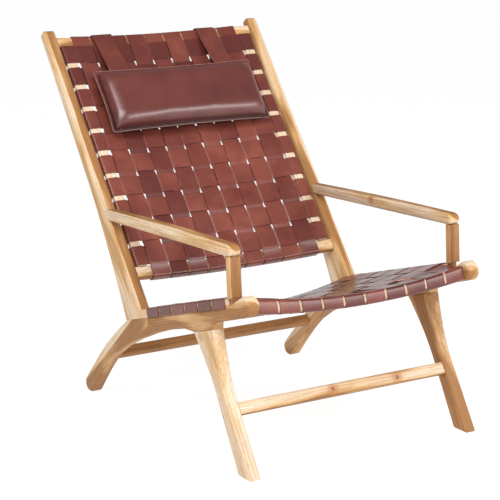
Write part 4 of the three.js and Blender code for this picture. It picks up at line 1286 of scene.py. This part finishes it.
def build_stage():
    bm = bmesh.new()
    bmesh.ops.create_grid(bm, x_segments=1, y_segments=1, size=30)
    material, graph, surface = new_material("studio_floor")
    graph.fill(
        surface, Base_Color=(0.2, 0.2, 0.2, 1), Roughness=0.9,
        Emission_Color=(1, 1, 1, 1), Emission_Strength=0.9,
    )
    floor = new_object("floor", bm, [material])


def add_light(name, location, target, width, height, power):
    light = bpy.data.lights.new(name, "AREA")
    light.shape = "RECTANGLE"
    light.size = width
    light.size_y = height
    light.energy = power
    holder = bpy.data.objects.new(name, light)
    scene.collection.objects.link(holder)
    holder.location = location
    holder.rotation_euler = (Vector(target) - Vector(location)).to_track_quat("-Z", "Y").to_euler()


def build_light():
    """A white studio: a soft box high on the left, a lower strip on the right, and a pale surround."""
    world = bpy.data.worlds.new("studio")
    scene.world = world
    world.use_nodes = True
    world.node_tree.nodes.clear()
    graph = Graph(world.node_tree)
    direction = graph.add("ShaderNodeTexCoord").outputs["Generated"]
    height = graph.add("ShaderNodeSeparateXYZ", {0: direction}).outputs["Z"]
    strength = graph.span(height, 0.04, 0.38, 1.0, 0.27)
    background = graph.add("ShaderNodeBackground", {"Color": (1, 1, 1, 1), "Strength": strength})
    output = graph.add("ShaderNodeOutputWorld")
    graph.join(background.outputs[0], output.inputs["Surface"])
    add_light("soft_box_left", (-1.5, -1.6, 2.8), (0, 0, 0.45), 2.2, 1.5, 92)
    add_light("strip_right", (1.6, -2.7, 1.65), (0, 0.2, 0.7), 2.4, 1.1, 58)
    scene.view_settings.view_transform = "Standard"
    scene.view_settings.look = "None"


CAMERA_AZIMUTH = math.radians(-32.21)
CAMERA_ELEVATION = math.radians(13.38)
CAMERA_DISTANCE = 4.4193
CAMERA_AIM = Vector((0.05, 2.2, 389.3)) * MM


def build_camera():
    """The photograph's view, as found from the chair's own edges."""
    level = math.cos(CAMERA_ELEVATION)
    back = Vector((
        math.sin(CAMERA_AZIMUTH) * level, -math.cos(CAMERA_AZIMUTH) * level, math.sin(CAMERA_ELEVATION),
    ))
    data = bpy.data.cameras.new("camera")
    data.lens = 126.3
    data.sensor_width = 36
    camera = bpy.data.objects.new("camera", data)
    scene.collection.objects.link(camera)
    camera.location = CAMERA_AIM + back * CAMERA_DISTANCE
    camera.rotation_euler = (-back).to_track_quat("-Z", "Y").to_euler()
    scene.camera = camera


build_stage()
build_light()
build_camera()

bpy.context.view_layer.update()
